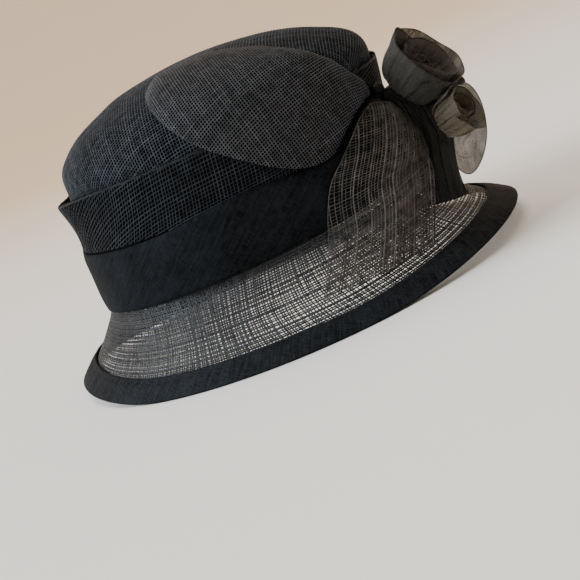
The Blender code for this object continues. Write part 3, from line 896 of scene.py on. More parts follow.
def drape_threads(steep):
    """One set of the drape's strands."""
    found = []
    place = 0.0
    while place < GIRTH:
        lean = thread_lean(place) - (0.0 if steep else math.pi / 2)
        rows = trace(place, steep)
        rows = rows[: max(int((rows[:, 1] <= DRAPE_RISE).sum()), 3)]
        turn = rows[:, 0] / GIRTH * 2.0 * math.pi
        share = np.interp(np.clip(rows[:, 1], 0.0, DRAPE_RISE), side_run, shares)
        ahead = drape_points(turn + 0.002, share) - drape_points(turn - 0.002, share)
        rise = drape_points(turn, share + 0.004) - drape_points(turn, share - 0.004)
        face = unit(np.cross(ahead, rise))
        wave = checkered(len(turn)) * chance.choice([-1.0, 1.0])
        path = drape_points(turn, share) + face * (STRAND_SEAT + DRAPE_LIFT * wave[:, None])
        found.append(strand(path, face, DRAPE_STRAND * chance.uniform(0.7, 1.3), DRAPE_THICK))
        place += DRAPE_STEP / abs(math.sin(lean)) * chance.uniform(0.85, 1.15)
    return found


finish_piece(weave_piece("drape_warp", drape_threads(True)), drape_straw, "straw_cloth")
fold_threads = []
for share in FOLD_SHARES:
    path = drape_points(full_turn, share, -0.00035)[:-1]
    path = path + outward(full_turn[:-1], 1.5) * FOLD_LIFT * checkered(AROUND)[:, None]
    face = unit(path - drape_points(full_turn, share, 0.002)[:-1])
    fold_threads.append(strand(path, face, FOLD_STRAND, DRAPE_THICK, closed=True))
weft = drape_threads(False) + fold_threads
finish_piece(weave_piece("drape_weft", weft), drape_straw, "straw_cloth")

# %% [markdown]
# ## The band
# A strip of slubbed silk, turned in at both edges and pulled round the head. It is nearly smooth: the edges
# are a little rounded, and shallow pulls run along it. They are real relief in the grid, and the slubs are
# in the finish.

# %% The silk band
BAND_ROWS = 15
PULL_DEPTH = 0.00010
BAND_LIFT = 0.0048
LIFT_TURN = math.radians(-84.0)
LIFT_SPREAD = math.radians(19.0)
band_inner = GAP + DRAPE_WALL + GAP
band_turn = np.arctan2(np.sin(full_turn), np.cos(full_turn))
band_rise = BAND_LIFT * np.exp(-((band_turn - LIFT_TURN) / LIFT_SPREAD) ** 2)
band_rows = []
pulls = [(chance.integers(3, 9), chance.uniform(0.0, 6.28), chance.uniform(0.0, 6.28)) for _ in range(6)]
for k in range(BAND_ROWS):
    share = k / (BAND_ROWS - 1)
    level = np.maximum(crown_level((BAND_HEIGHT + band_rise * share ** 2) * share), 1.001)
    swell = 0.0008 * math.sin(math.pi * share) + 0.0004 * min(1.0, 8.0 * share, 8.0 * (1.0 - share)) - 0.0004
    stand = band_inner + SILK_WALL + swell + 0.22 * band_rise * share ** 3
    for waves, phase, tilt in pulls:
        pull = np.sin(waves * full_turn + phase + 5.0 * share + tilt)
        stand += PULL_DEPTH * pull * math.sin(math.pi * share)
    band_rows.append(off_block(full_turn, level, stand))
band = lay_cloth("band_silk", np.stack(band_rows), round_hat=True, wall=SILK_WALL)
finish_piece(band, band_silk, "silk", "band")

# %% [markdown]
# ## The brim
# The brim is a single layer of straw cloth, and the light behind it comes through the holes. So nothing is
# under its strands. The rings follow the rim and the ribs run down to it, and both wander a little, because
# the cloth was steamed and pulled by hand.

# %% The brim's strands
RIBS = 430
RINGS = 40
BRIM_STRAND = 0.00085
BRIM_LIFT = 0.00018
BRIM_THICK = 0.00034
BRIM_INSET = 0.0007
UNDER_BINDING = 0.0040
slope = float(np.linalg.norm(block(full_turn, 0.999) - block(full_turn, 0.0), axis=-1).mean())
low_level = (BINDING_WIDTH - UNDER_BINDING) / slope
top_level = float(crown_level(UPSTAND - GAP))


def brim_pull(turn, level):
    """How far the cloth was pulled round the head, in radians."""
    give = np.clip(level, 0.0, 1.0)
    return (0.16 * np.sin(2.0 * turn + 0.6) + 0.05 * np.sin(5.0 * turn)) * (1.0 - give) * give * 2.0


ring_levels = low_level + (1.0 - low_level) * np.linspace(0.0, 1.0, RINGS - 2)
ring_levels = np.concatenate([ring_levels, [0.5 + 0.5 * top_level, top_level]])
ring_levels[1:-3] += chance.normal(size=RINGS - 4) * 0.0022
rib_turns = np.linspace(0.0, 2.0 * math.pi, RIBS, endpoint=False) + chance.normal(size=RIBS) * 0.0018
ring_wander = np.stack([slow_wave(RIBS, 0.0020) for _ in range(RINGS)])
rib_wander = chance.normal(size=(RIBS, 4)) * 0.0014
level_grid = ring_levels[:, None] + ring_wander * np.clip((ring_levels[:, None] - low_level) * 6.0, 0.0, 1.0)
level_grid = np.clip(level_grid, low_level * 0.9, top_level)
turn_grid = rib_turns[None] + brim_pull(rib_turns[None], level_grid)
for k in range(4):
    turn_grid = turn_grid + rib_wander[None, :, k] * np.sin((k + 1) * 2.3 * level_grid + k)
brim_grid = off_block(turn_grid, level_grid, -BRIM_INSET)
brim_square = outward(turn_grid, level_grid)
over_under = checkered(RINGS, RIBS)[..., None]


def brim_strand(path, square, sign, closed):
    """One strand of the brim: some strands are doubled."""
    doubled = chance.random() < 0.10
    base = BRIM_STRAND * (1.28 if doubled else chance.uniform(0.80, 1.20))
    width = base * (1.0 + 0.10 * chance.normal(size=len(path)))
    return strand(path + square * sign * BRIM_LIFT, square, width, BRIM_THICK, closed=closed)


rings = [brim_strand(brim_grid[row], brim_square[row], over_under[row], True) for row in range(RINGS)]
ribs = [brim_strand(brim_grid[:, k], brim_square[:, k], -over_under[:, k], False) for k in range(RIBS)]
finish_piece(weave_piece("brim_weave", rings), brim_straw, "straw_cloth", "brim")
finish_piece(weave_piece("brim_ribs", ribs), brim_straw, "straw_cloth")

# %% [markdown]
# ## The binding
# A folded strip of silk closes the rim. Its upper edge is slip-stitched to the brim, so it puckers a little
# between the stitches, and long diagonal drags run across it because bias silk was pulled round a curve.

# %% The silk binding
BIND_AROUND = 312
bind_turn = np.linspace(0.0, 2.0 * math.pi, BIND_AROUND + 1)
bind_turn[-1] = bind_turn[0]
rim_points = block(bind_turn, 0.0)
rim_slope = np.linalg.norm(block(bind_turn, 0.999) - rim_points, axis=-1)
bind_top = BINDING_WIDTH / rim_slope
fall = unit(rim_points - block(bind_turn, 0.04))
low_square = outward(bind_turn, 0.02)


def floor_points(stand):
    """Where lines at a stand-off from the brim come down to the rim's height."""
    start = rim_points + low_square * stand
    run = (start[:, 2] - rim_points[:, 2]) / -fall[:, 2]
    return start + fall * run[:, None]


STITCHES = 300
PUCKER_DEPTH = 0.00022
DRAG_DEPTH = 0.00007
DRAG_WAVES = (17, 23, 31, 41)
under_brim = -(STRAW_WALL + GAP)
bind_outer = GAP + BINDING_WALL
bind_inner = under_brim - BINDING_WALL
pucker = PUCKER_DEPTH * np.cos(bind_turn / (2.0 * math.pi / STITCHES) * 2.0 * math.pi)
drags = sum(np.sin(n * bind_turn + chance.uniform(0, 6.28)) for n in DRAG_WAVES) * DRAG_DEPTH
outer_low = floor_points(bind_outer)
outer_top = off_block(bind_turn, bind_top, bind_outer)
top_square = outward(bind_turn, bind_top)
bind_rows = [floor_points(0.5 * (bind_outer + bind_inner)), outer_low]
for share in (0.12, 0.30, 0.50, 0.66, 0.78, 0.84, 0.90, 1.0):
    puff = 0.0005 * math.sin(math.pi * share) - 0.00045 * math.exp(-((share - 0.84) / 0.04) ** 2)
    drag = drags * math.sin(math.pi * share) + pucker * max(0.0, share - 0.6) * 1.2
    point = outer_low + (outer_top - outer_low) * share
    bind_rows.append(point + (low_square * (1 - share) + top_square * share) * (puff + drag)[:, None])
edge_up = unit(outer_top - outer_low)
bind_rows.append(off_block(bind_turn, bind_top, GAP + 0.0005) + edge_up * 0.0004)
for share, stand in ((1.0, GAP), (0.75, GAP), (0.75, under_brim), (1.0, under_brim), (1.0, bind_inner)):
    bind_rows.append(off_block(bind_turn, bind_top * share, stand))
bind_rows += [floor_points(bind_inner), bind_rows[0]]
binding = lay_cloth("rim_binding", np.stack(bind_rows), round_hat=True)
finish_piece(binding, rim_silk, "silk", "brim_binding")

# %% [markdown]
# ## The leaf
# The leaf is a loop of the same cloth, gathered at the knot and laid over the side of the crown. Its two
# layers lie on the bias, so the threads run as diagonals. Its shape is given by angles seen from a point
# inside the crown: each direction from that point meets the leaf once, which makes it easy to lay a net on
# it.

# %% The leaf's shape
LEAF_EYE = (0.315, 0.750, 0.143)
LEAF_ROWS = [
    # turn on from the knot, lower and upper edge, in degrees
    (-3.6, 18.2, 22.2), (-7.0, 17.2, 24.8), (-11.0, 15.5, 28.5), (-16.0, 12.2, 33.5), (-21.0, 9.0, 37.5),
    (-27.0, 9.0, 41.0), (-33.0, 11.5, 43.5), (-39.0, 15.5, 45.5), (-45.0, 20.0, 46.2), (-50.0, 25.0, 45.5),
    (-55.0, 31.0, 44.0), (-59.0, 36.5, 41.5),
]


def drape_stand(turn, height):
    """How far the drape's outer face stands off the crown."""
    table = np.array(DRAPE_SECTION, dtype=float)
    peak = int(np.argmax(table[:, 1]))
    out = np.interp((height - drape_base) / (FOLD_HEIGHT - drape_base), table[:peak, 1], table[:peak, 0])
    return drape_hug + (fold_proud(turn) - drape_hug) * out


knot_turn = math.radians(KNOT_TURN)
knot_stand = drape_stand(knot_turn, KNOT_HEIGHT) + GAP + KNOT_RADIUS
knot = Vector(off_block(knot_turn, crown_level(KNOT_HEIGHT), knot_stand))
leaf_eye = np.array([HEAD_SHIFT + HEAD_LENGTH / 2 * LEAF_EYE[0], HEAD_WIDTH / 2 * LEAF_EYE[1],
                     HEAD_LINE + CROWN_HEIGHT * LEAF_EYE[2]])
leaf_start = math.atan2(knot.y - leaf_eye[1], knot.x - leaf_eye[0])


def inside_crown(points):
    """Whether points lie inside the crown's outer face."""
    rise = (points[..., 2] - HEAD_LINE) / CROWN_HEIGHT
    row = curve_rows(CROWN_ROWS, crown_level(rise * CROWN_HEIGHT) - 1.0)
    centre = HEAD_SHIFT + HEAD_LENGTH / 2 * (row[..., 2] - row[..., 1]) / 2
    reach = HEAD_LENGTH / 2 * (row[..., 1] + row[..., 2]) / 2
    side = np.maximum(HEAD_WIDTH / 2 * row[..., 3], 1e-6)
    near = ((points[..., 0] - centre) / np.maximum(reach, 1e-6)) ** 2 + (points[..., 1] / side) ** 2 < 1.0
    return near & (rise < 1.0)


def crown_hit(turn, tilt):
    """Where rays from the leaf's eye meet the crown."""
    ray = np.stack([np.cos(tilt) * np.cos(turn), np.cos(tilt) * np.sin(turn), np.sin(tilt)], -1)
    near = np.zeros(ray.shape[:-1])
    far = np.full(ray.shape[:-1], HEAD_LENGTH)
    for _ in range(20):
        middle = 0.5 * (near + far)
        inside = inside_crown(leaf_eye + ray * middle[..., None])
        near = np.where(inside, middle, near)
        far = np.where(inside, far, middle)
    return leaf_eye + ray * near[..., None]


def leaf_points(u, v, lower=0.0):
    """The leaf's outer face: u goes from the knot to the tip, v from the lower to the upper edge."""
    u, v = np.broadcast_arrays(np.asarray(u, float), np.asarray(v, float))
    beyond = np.clip(u, None, 0.0) + np.clip(u - 1.0, 0.0, None)
    turn, low, high = np.moveaxis(curve_rows(LEAF_ROWS, u), -1, 0)
    a = leaf_start + np.radians(turn - 60.0 * beyond)
    b = np.radians(low + (high - low) * v)
    point = crown_hit(a, b)
    step = 0.02
    square = unit(np.cross(crown_hit(a + step, b) - crown_hit(a - step, b),
                           crown_hit(a, b + step) - crown_hit(a, b - step)))
    under = fold_proud(head_turn(point))
    v_in = np.clip(v, 0.0, 1.0)
    u_in = np.clip(u, 0.0, 1.0)
    high_stand = GAP + STRAW_WALL + LEAF_EASE * np.minimum(4.0 * u_in, 1.0)
    gathered = np.minimum(u_in / 0.35, 1.0)
    ease = v_in * v_in * (3.0 - 2.0 * v_in) * gathered
    tip = np.clip(u_in - 0.75, 0.0, None) / 0.25
    edge = high_stand + under * (1.0 - np.maximum(ease, tip))
    taper = np.sin(math.pi * np.minimum(0.08 + 0.92 * u_in, 1.0)) ** 0.5
    puff = LEAF_PUFF * np.sin(math.pi * v_in) ** 0.7 * taper
    pleats = 0.0007 * np.sin(v_in * 44.0) * np.clip(1.0 - u_in / 0.22, 0.0, 1.0) * np.sin(math.pi * v_in)
    return point + square * (edge + puff + pleats - lower)[..., None]


leaf_u = np.linspace(0.0, 1.0, 70)
leaf_v = np.linspace(0.0, 1.0, 38)
leaf_grid = leaf_points(leaf_u[:, None], leaf_v[None], -UNDER)
leaf_cloth = lay_cloth("leaf_cloth", leaf_grid, wall=STRAW_WALL * 0.55)
finish_piece(leaf_cloth, under_cloth, "straw_cloth", "leaf_loop")

# %% [markdown]
# ### The leaf's net
# The net is grown over a surface that is wider than the leaf, and every thread is cut where it meets the
# leaf's edge, as scissors cut cloth. A second, darker net just below stands for the under layer; its darker
# finish, the drape's, is painted shade under the upper layer. The two together give the shifting pattern of
# doubled open cloth.

# %% The leaf's net of strands
LEAF_STEP = 0.0016
LEAF_STEPS = 60
LEAF_STRAND = 0.00047
LEAF_LIFT = 0.00018
wide_u = np.linspace(-0.25, 1.35, 90)
wide_v = np.concatenate([np.linspace(-1.6, -0.1, 12), np.linspace(0.0, 1.0, 30), np.linspace(1.1, 2.6, 12)])
wide_leaf = leaf_points(wide_u[:, None], wide_v[None])
onto_leaf = mover(wide_leaf, grid_faces(*wide_leaf.shape[:2]), leaf_eye)


def leaf_place(points):
    """The leaf's u and v at points on it."""
    ray = points - leaf_eye
    turn = np.degrees(np.arctan2(ray[..., 1], ray[..., 0]) - leaf_start)
    tilt = np.degrees(np.arcsin(ray[..., 2] / np.linalg.norm(ray, axis=-1)))
    table_u = np.linspace(0.0, 1.0, 200)
    table = curve_rows(LEAF_ROWS, table_u)
    u = np.interp(-turn, -table[:, 0], table_u, left=-0.1, right=1.1)
    row = curve_rows(LEAF_ROWS, np.clip(u, 0.0, 1.0))
    return u, (tilt - row[..., 1]) / (row[..., 2] - row[..., 1])


def leaf_net(first_way, second_way, lower):
    """Crossings and squares of one layer of the leaf."""
    start = leaf_points(0.5, 0.5)
    ahead = unit(leaf_points(0.52, 0.5) - leaf_points(0.48, 0.5))
    rise = unit(leaf_points(0.5, 0.52) - leaf_points(0.5, 0.48))
    face = unit(np.cross(rise, ahead))
    face = face * np.sign((face * (start - leaf_eye)).sum())
    side = unit(np.cross(face, ahead))
    ways = [ahead * math.cos(math.radians(way)) + side * math.sin(math.radians(way))
            for way in (first_way, second_way)]
    net = whole_net(onto_leaf, start, *ways, LEAF_STEP, LEAF_STEPS)
    squares = net_squares(net, leaf_eye, face)
    return net - squares * lower, squares


def leaf_threads(net, squares, sign, thick):
    """Strands along a net's rows, cut at the leaf's edge."""
    found = []
    u, v = leaf_place(np.nan_to_num(net, nan=0.0))
    margin = np.minimum(np.minimum(u, 1.0 - u) * 2.0, np.minimum(v, 1.0 - v))
    margin = np.where(np.isfinite(net[..., 0]), margin, -1.0)
    weave = checkered(*net.shape[:2])
    for row in range(len(net)):
        if (margin[row] > 0.0).sum() < 2:
            continue
        for run in runs_of(margin[row] > 0.0):
            face = squares[row, run]
            path = net[row, run] + face * (0.00005 + sign * weave[row, run, None] * LEAF_LIFT)
            for last, beyond in ((run[0], run[0] - 1), (run[-1], run[-1] + 1)):
                if not 0 <= beyond < net.shape[1] or not np.isfinite(net[row, beyond, 0]):
                    continue
                part = margin[row, last] / (margin[row, last] - margin[row, beyond] + 1e-9)
                part = float(np.clip(part, 0.05, 1.0))
                extra = (net[row, last] + (net[row, beyond] - net[row, last]) * part)[None]
                first = beyond < last
                path = np.concatenate((extra, path) if first else (path, extra))
                face = np.concatenate((face[:1], face) if first else (face, face[-1:]))
            if len(path) < 3:
                continue
            width = LEAF_STRAND * chance.uniform(0.88, 1.14) * (1.0 + 0.10 * chance.normal(size=len(path)))
            found.append(strand(path, face, width, thick))
    return found


LEAF_LAYERS = [
    # name, finish, the two thread directions in degrees, depth below the face, thickness
    ("leaf_weave", leaf_straw, 54.0, 136.0, 0.0, 0.00034),
    # the under layer takes the drape's darker finish: painted shade under the upper layer
    ("leaf_lining", drape_straw, 60.0, 146.0, 0.00075, 0.00030),
]
for name, finish, first_way, second_way, lower, thick in LEAF_LAYERS:
    net, squares = leaf_net(first_way, second_way, lower)
    threads = leaf_threads(net, squares, 1.0, thick)
    threads += leaf_threads(net.transpose(1, 0, 2), squares.transpose(1, 0, 2), -1.0, thick)
    finish_piece(weave_piece(name, threads), finish, "straw_cloth")

# %% [markdown]
# ## The tail
# The tail falls from the knot over band and brim. It is open cloth with nothing behind it, so the bright
# brim shows through, and its front half is folded under, which makes a second layer there with a darker,
# browner finish; the darkness is painted shade under the upper layer. Its lengthwise threads spread a
# little from the knot, the cut edges end some of them, some lie in pairs, and the cross threads are finer
# and closer.

# %% The tail's strands
TAIL_ROWS = [
    # left turn, left level, left stand, right turn, right level, right stand, bulge
    (-31.0, 1.286, 0.36, -22.5, 1.262, 0.45, 0.3), (-38.0, 1.270, 0.40, -22.5, 1.235, 0.62, 0.7),
    (-43.5, 1.228, 0.38, -22.5, 1.200, 0.77, 1.0), (-48.5, 1.180, 0.32, -22.5, 1.160, 0.90, 1.2),
    (-53.5, 1.130, 0.19, -23.0, 1.100, 0.95, 1.2), (-58.0, 1.050, 0.15, -25.0, 0.780, 1.00, 1.1),
    (-64.0, 0.830, 0.17, -28.0, 0.660, 0.83, 1.0), (-69.5, 0.640, 0.14, -34.0, 0.500, 0.47, 0.9),
    (-75.0, 0.430, 0.09, -42.0, 0.310, 0.14, 0.7),
]
TAIL_STRAND = 0.00054
TAIL_CROSS = 0.00036
TAIL_LIFT = 0.00012
TAIL_THICK = 0.00028
CROSS_THICK = 0.00024
FOLD_DEPTH = 0.00090
tail_edges = []
for left_turn, left_level, left_stand, right_turn, right_level, right_stand, bulge in TAIL_ROWS:
    left = off_block(math.radians(left_turn), left_level, TAIL_FLARE * left_stand)
    right = off_block(math.radians(right_turn), right_level, TAIL_FLARE * right_stand)
    tail_edges.append((*left, *right, TAIL_BULGE * bulge))


def tail_points(u, v):
    """The tail's outer face: u goes down from the knot to the hem, v from the back edge to the front edge."""
    u, v = np.broadcast_arrays(np.asarray(u, float), np.asarray(v, float))
    row = curve_rows(tail_edges, u)
    left = row[..., 0:3]
    right = row[..., 3:6]
    square = unit(np.cross(right - left, [0.0, 0.0, 1.0]))
    ripple = 0.0008 * np.sin(9.0 * v + 2.5 * u) * np.clip(u * 4.0, 0.0, 1.0) * 4.0 * v * (1.0 - v)
    bulge = row[..., 6] * 4.0 * v * (1.0 - v) + ripple
    return left + (right - left) * v[..., None] + square * bulge[..., None]


def tail_square(u, v):
    """Directions square to the tail."""
    along = tail_points(np.clip(u + 0.01, 0, 1), v) - tail_points(np.clip(u - 0.01, 0, 1), v)
    across = tail_points(u, np.clip(v + 0.01, 0, 1)) - tail_points(u, np.clip(v - 0.01, 0, 1))
    return unit(np.cross(along, across))


def tail_threads(lengthwise, crosswise, swing, lower, first=0.006):
    """One layer of the tail, from the share of the width given as first to the front edge."""
    found = []
    run = run_along(tail_points(np.linspace(0.0, 1.0, 200), 0.5))
    rows = np.interp(np.linspace(0.0, run[-1], crosswise), run, np.linspace(0.0, 1.0, 200))
    columns = np.linspace(first, 0.994, lengthwise)
    columns[1:-1] += chance.normal(size=lengthwise - 2) * 0.13 / lengthwise
    rows[1:-1] += chance.normal(size=crosswise - 2) * 0.08 / crosswise
    grid_u, grid_v = np.meshgrid(rows, columns, indexing="ij")
    grid_v = np.clip(grid_v + swing * (grid_u - 0.5) * np.sin(math.pi * grid_v), 0.0, 1.0)
    grid_u = np.clip(grid_u + 0.02 * np.sin(3.0 * grid_v + 1.0) * np.sin(math.pi * grid_u), 0.0, 1.0)
    points = tail_points(grid_u, grid_v)
    squares = tail_square(grid_u, grid_v)
    weave = checkered(crosswise, lengthwise)[..., None] * TAIL_LIFT
    widths = np.linalg.norm(tail_points(rows, 1.0) - tail_points(rows, 0.0), axis=-1)
    together = (0.80 + 0.20 * widths / widths.max()) * widths.max() / widths
    places = 0.5 + (grid_v - 0.5) * together[:, None]
    for column in range(lengthwise):
        inside = np.nonzero((places[:, column] >= first - 0.002) & (places[:, column] <= 1.0))[0]
        if len(inside) < 4:
            continue
        part = slice(inside[0], inside[-1] + 1)
        down = rows[part]
        over = np.clip(places[part, column], 0.0, 1.0)
        face = tail_square(down, over)
        path = tail_points(down, over) + face * (weave[part, column] - lower)
        heavy = 1.7 if chance.random() < 0.22 else chance.uniform(0.75, 1.15)
        width = TAIL_STRAND * heavy * (1.0 + 0.10 * chance.normal(size=len(path)))
        found.append(strand(path, face, width, TAIL_THICK))
    for edge in (first, 0.996):
        face = tail_square(rows, np.full(crosswise, edge))
        found.append(strand(tail_points(rows, edge) - face * lower, face, 0.00055, 0.00040))
    for row in range(crosswise):
        path = points[row] - squares[row] * (weave[row] + lower)
        width = TAIL_CROSS * chance.uniform(0.75, 1.35) * (1.0 + 0.12 * chance.normal(size=len(path)))
        found.append(strand(path, squares[row], width, CROSS_THICK))
    return found


finish_piece(weave_piece("tail_weave", tail_threads(33, 76, 0.0, 0.0)), tail_straw, "straw_cloth", "tail")
folded = tail_threads(19, 62, 0.03, FOLD_DEPTH, 0.46)
finish_piece(weave_piece("tail_lining", folded), shaded_fold_straw, "straw_cloth")

# %% [markdown]
# ## The knot
# Leaf, tail and flowers are gathered to one point and bound there. The knot is that gathered cloth: a small
# barrel with deep pleats, pinched by the binding thread.

# %% The knot
def ways_of(axis):
    """An axis of length 1, with a side and a top square to it."""
    axis = Vector(axis).normalized()
    side = axis.cross(Vector((0, 0, 1))).normalized()
    return np.array(axis), np.array(side), np.array(side.cross(axis))


def barrel(centre, ways, rows, around, pleats, depth):
    """Rings of points along an axis with pleats: each row gives a place along the axis and a radius."""
    axis, side, top = ways
    turn = np.linspace(0.0, 2.0 * math.pi, around + 1)
    turn[-1] = turn[0]
    rings = []
    for along, radius in rows:
        wave = depth * np.abs(np.sin(pleats * turn / 2.0)) + 0.4 * depth * np.sin(3.0 * turn + 60.0 * along)
        reach = radius * (1.0 + wave)
        rings.append(np.array(centre) + axis * along + np.outer(np.cos(turn) * reach, side)
                     + np.outer(np.sin(turn) * reach, top))
    return np.stack(rings)


KNOT_WAYS = ways_of((0.62, -0.62, 0.48))
KNOT_ROWS = [(-0.0044, 0.00002), (-0.0042, 0.0020), (-0.0030, 0.0034), (-0.0012, 0.0034), (-0.0004, 0.0030),
             (0.0004, 0.0030), (0.0012, 0.0034), (0.0030, 0.0033), (0.0042, 0.0020), (0.0044, 0.00002)]
knot_cloth = lay_cloth("knot_cloth", barrel(knot, KNOT_WAYS, KNOT_ROWS, 72, 18, 0.16), round_hat=True)
finish_piece(knot_cloth, drape_straw, "straw_cloth", "knot")

# %% [markdown]
# ## The flowers
# The flowers are strips of organza, folded lengthwise and rolled. Organza is sheer, so one layer is like
# smoke, its folded edge is a fine dark line, and where layers gather the flower is nearly black. Each petal
# is a sheet with its own spread, flare and pleats, and each rim is a fine cord along its edge.

# %% Helpers for petals
PETAL_WALL = 0.00035


def petal_grid(base, ways, start, spread, neck, mouth, length, flare=0.0, dip=0.25, spiral=0.0, ear=None,
               rows=30, columns=60):
    """A curved petal: angles in degrees round the flower's axis, sizes in metres, ear a flare of the lip."""
    axis, side, top = ways
    s = np.linspace(0.0, 1.0, columns)[None]
    t = np.linspace(0.0, 1.0, rows)[:, None]
    turn = np.radians(start + spread * s)
    edge = 1.0 - dip * np.abs(2.0 * s - 1.0) ** 4.0
    reach = neck + (mouth - neck) * np.sin(0.5 * math.pi * t ** 0.55)
    lip = np.clip(t - 0.70, 0.0, None) ** 1.6 / 0.30 ** 1.6
    reach = reach * (1.0 - spiral * s) + flare * lip
    rise = np.zeros_like(turn)
    if ear:
        place, width, out, up = ear
        bump = np.exp(-((turn - math.radians(place)) / math.radians(width)) ** 2)
        reach = reach + out * bump * lip
        rise = up * bump
    pleat = 0.00115 * np.sin(turn * 15.0 + 4.0 * np.sin(turn * 2.0)) * (1.0 - t) ** 0.6
    pleat = pleat + 0.00070 * np.sin(turn * 7.0 + 1.0 + 1.5 * t) * (1.0 - 0.3 * t)
    high = (length + rise) * t * edge - 0.35 * flare * lip
    return (np.array(base) + axis * high[..., None] + side * (np.cos(turn) * (reach + pleat))[..., None]
            + top * (np.sin(turn) * (reach + pleat))[..., None])


def rim_cord(grid, wide):
    """A fine cord along a petal's two sides and its lip."""
    path = np.concatenate([grid[6:-1, 0], grid[-1], grid[-2:5:-1, -1]])
    along = np.gradient(path, axis=0)
    face = unit(np.cross(along, path - grid.mean((0, 1))))
    return strand(path, face, wide, wide * 0.85)


def fold_and_shade_cords(grid):
    """Fine dark cords up a petal, where its organza is folded into pleats: partly the doubled organza, partly
    painted shade in the folds.
    """
    found = []
    for column in range(5, 55, 3):
        fold = grid[2:-3, column + int(chance.integers(0, 2))]
        middle = grid[2:-3].mean(1)
        slant = (fold - middle) / np.linalg.norm(fold - middle, axis=-1, keepdims=True)
        thin = chance.uniform(0.00022, 0.00045) * np.linspace(1.0, 0.35, len(fold))
        found.append(strand(fold + slant * 0.0001, slant, thin, 0.00022))
    return found


def make_rose(name, foot, ways, petals, finishes, cord, folded=0):
    """The petals of a rose, and one piece with the cords of their rims and folds; the fold cords are partly
    painted shade.
    """
    cords = []
    for k, (values, finish) in enumerate(zip(petals, finishes)):
        grid = petal_grid(np.array(foot) + ways[2] * values[-1], ways, *values[:-1])
        petal = lay_cloth(f"{name}_{k + 1}", grid, wall=PETAL_WALL)
        finish_piece(petal, finish, "organza", *([name] if k == 0 else []))
        cords.append(rim_cord(grid, cord))
        if k < folded:
            cords += fold_and_shade_cords(grid)
    finish_piece(weave_piece(f"{name}_rims", cords), hem_and_crease_shade_organza, "organza")


print("a petal's grid has", petal_grid(knot, KNOT_WAYS, 0.0, 90.0, 0.01, 0.02, 0.02).shape[:2], "corners")

# %% [markdown]
# ### The open rose
# The larger rose is a wide strip that opens at the lip. A row of the table is one petal, from the outer
# wrap in to the heart, and the outer two have fine folds that run up from their foot, drawn as dark cords
# that are partly painted shade.

# %% The open rose
rose_petals = [
    # start, spread, neck, mouth, length, flare, dip, spiral, ear, shift towards the flower's top
    (-88.0, 256.0, 0.0082, 0.0212, 0.0222, 0.0006, 0.20, 0.02, (98.0, 34.0, 0.0004, 0.0030), 0.0),
    (78.0, 232.0, 0.0070, 0.0205, 0.0266, 0.0008, 0.22, 0.01, (215.0, 24.0, 0.0012, 0.0016), 0.0),
    (222.0, 118.0, 0.0070, 0.0208, 0.0234, 0.0014, 0.30, 0.00, (282.0, 24.0, 0.0030, 0.0012), 0.0),
    (125.0, 255.0, 0.0048, 0.0172, 0.0252, 0.0008, 0.20, 0.10, (170.0, 30.0, 0.0010, 0.0014), 0.0),
    (-25.0, 245.0, 0.0040, 0.0132, 0.0208, 0.0006, 0.22, 0.14, (60.0, 30.0, 0.0008, 0.0016), 0.0),
    (185.0, 265.0, 0.0030, 0.0088, 0.0214, 0.0004, 0.15, 0.20, None, 0.0),
    (40.0, 330.0, 0.0020, 0.0046, 0.0205, 0.0002, 0.10, 0.35, None, 0.0),
]
rose_finishes = [wrap_organza, rose_organza, wrap_organza] + [rose_organza] * 4
make_rose("rose_upper", knot + Vector((0.0134, 0.0004, -0.0052)), ways_of((0.82, -0.20, 0.53)), rose_petals,
          rose_finishes, 0.0006, folded=2)

# %% [markdown]
# ### The rolled rose
# The smaller rose is rolled tighter, so its petals are three tubes, each set a little higher than the one
# round it. They use the same helper with another table.

# %% The rolled rose
roll_petals = [
    # start, spread, neck, mouth, length, flare, dip, spiral, ear, shift towards the flower's top
    (60.0, 300.0, 0.0050, 0.0124, 0.0180, 0.0006, 0.12, 0.03, (250.0, 40.0, 0.0020, -0.0010), 0.0),
    (-60.0, 290.0, 0.0040, 0.0096, 0.0185, 0.0003, 0.15, 0.06, (-20.0, 35.0, 0.0008, 0.0), 0.0010),
    (120.0, 310.0, 0.0032, 0.0068, 0.0178, 0.0002, 0.12, 0.15, None, 0.0026),
]
make_rose("rose_lower", knot + Vector((0.0266, -0.0160, -0.0280)), ways_of((0.868, -0.404, 0.293)),
          roll_petals, [roll_organza] * 3, 0.0005)

# %% [markdown]
# ### The wide outer petal
# One thin petal hangs free beside the small rose, and the light behind comes through it. It is a disc, made
# by pressing a square grid into a circle, which keeps its corners free of a pole. It is cupped, and two
# soft creases run across it. Dark cords along three lines across it are painted shade in its creases.

# %% The wide outer petal
PETAL_LENGTH = 0.0500
PETAL_WIDTH = 0.0250
PETAL_CUP = 0.0060
CREASE_SHADE_LINES = [
    # first x, first y, last x, last y, sag
    (-0.55, -0.42, 0.30, -0.62, -0.10), (-0.30, -0.30, 0.35, 0.02, 0.06), (-0.10, -0.40, 0.45, -0.12, 0.05),
]
petal_middle = np.array(knot + Vector((0.0340, -0.0006, -0.0372)))
petal_long = np.array(Vector((0.28, 0.0, 0.96)).normalized())
petal_face = np.array(Vector((0.35, -0.93, 0.10)).normalized())
petal_wide = np.cross(petal_long, petal_face)
s, t = np.meshgrid(np.linspace(-1.0, 1.0, 41), np.linspace(-1.0, 1.0, 61))
disc_x = s * np.sqrt(1.0 - 0.5 * t * t)
disc_y = t * np.sqrt(1.0 - 0.5 * s * s)
narrow = 1.0 - 0.16 * np.clip(-disc_y, 0.0, 1.0) ** 2
crease = 0.0009 * np.exp(-((disc_y + 0.25 - 0.5 * disc_x) / 0.05) ** 2) * np.clip(1.0 - disc_x ** 2, 0.0, 1.0)
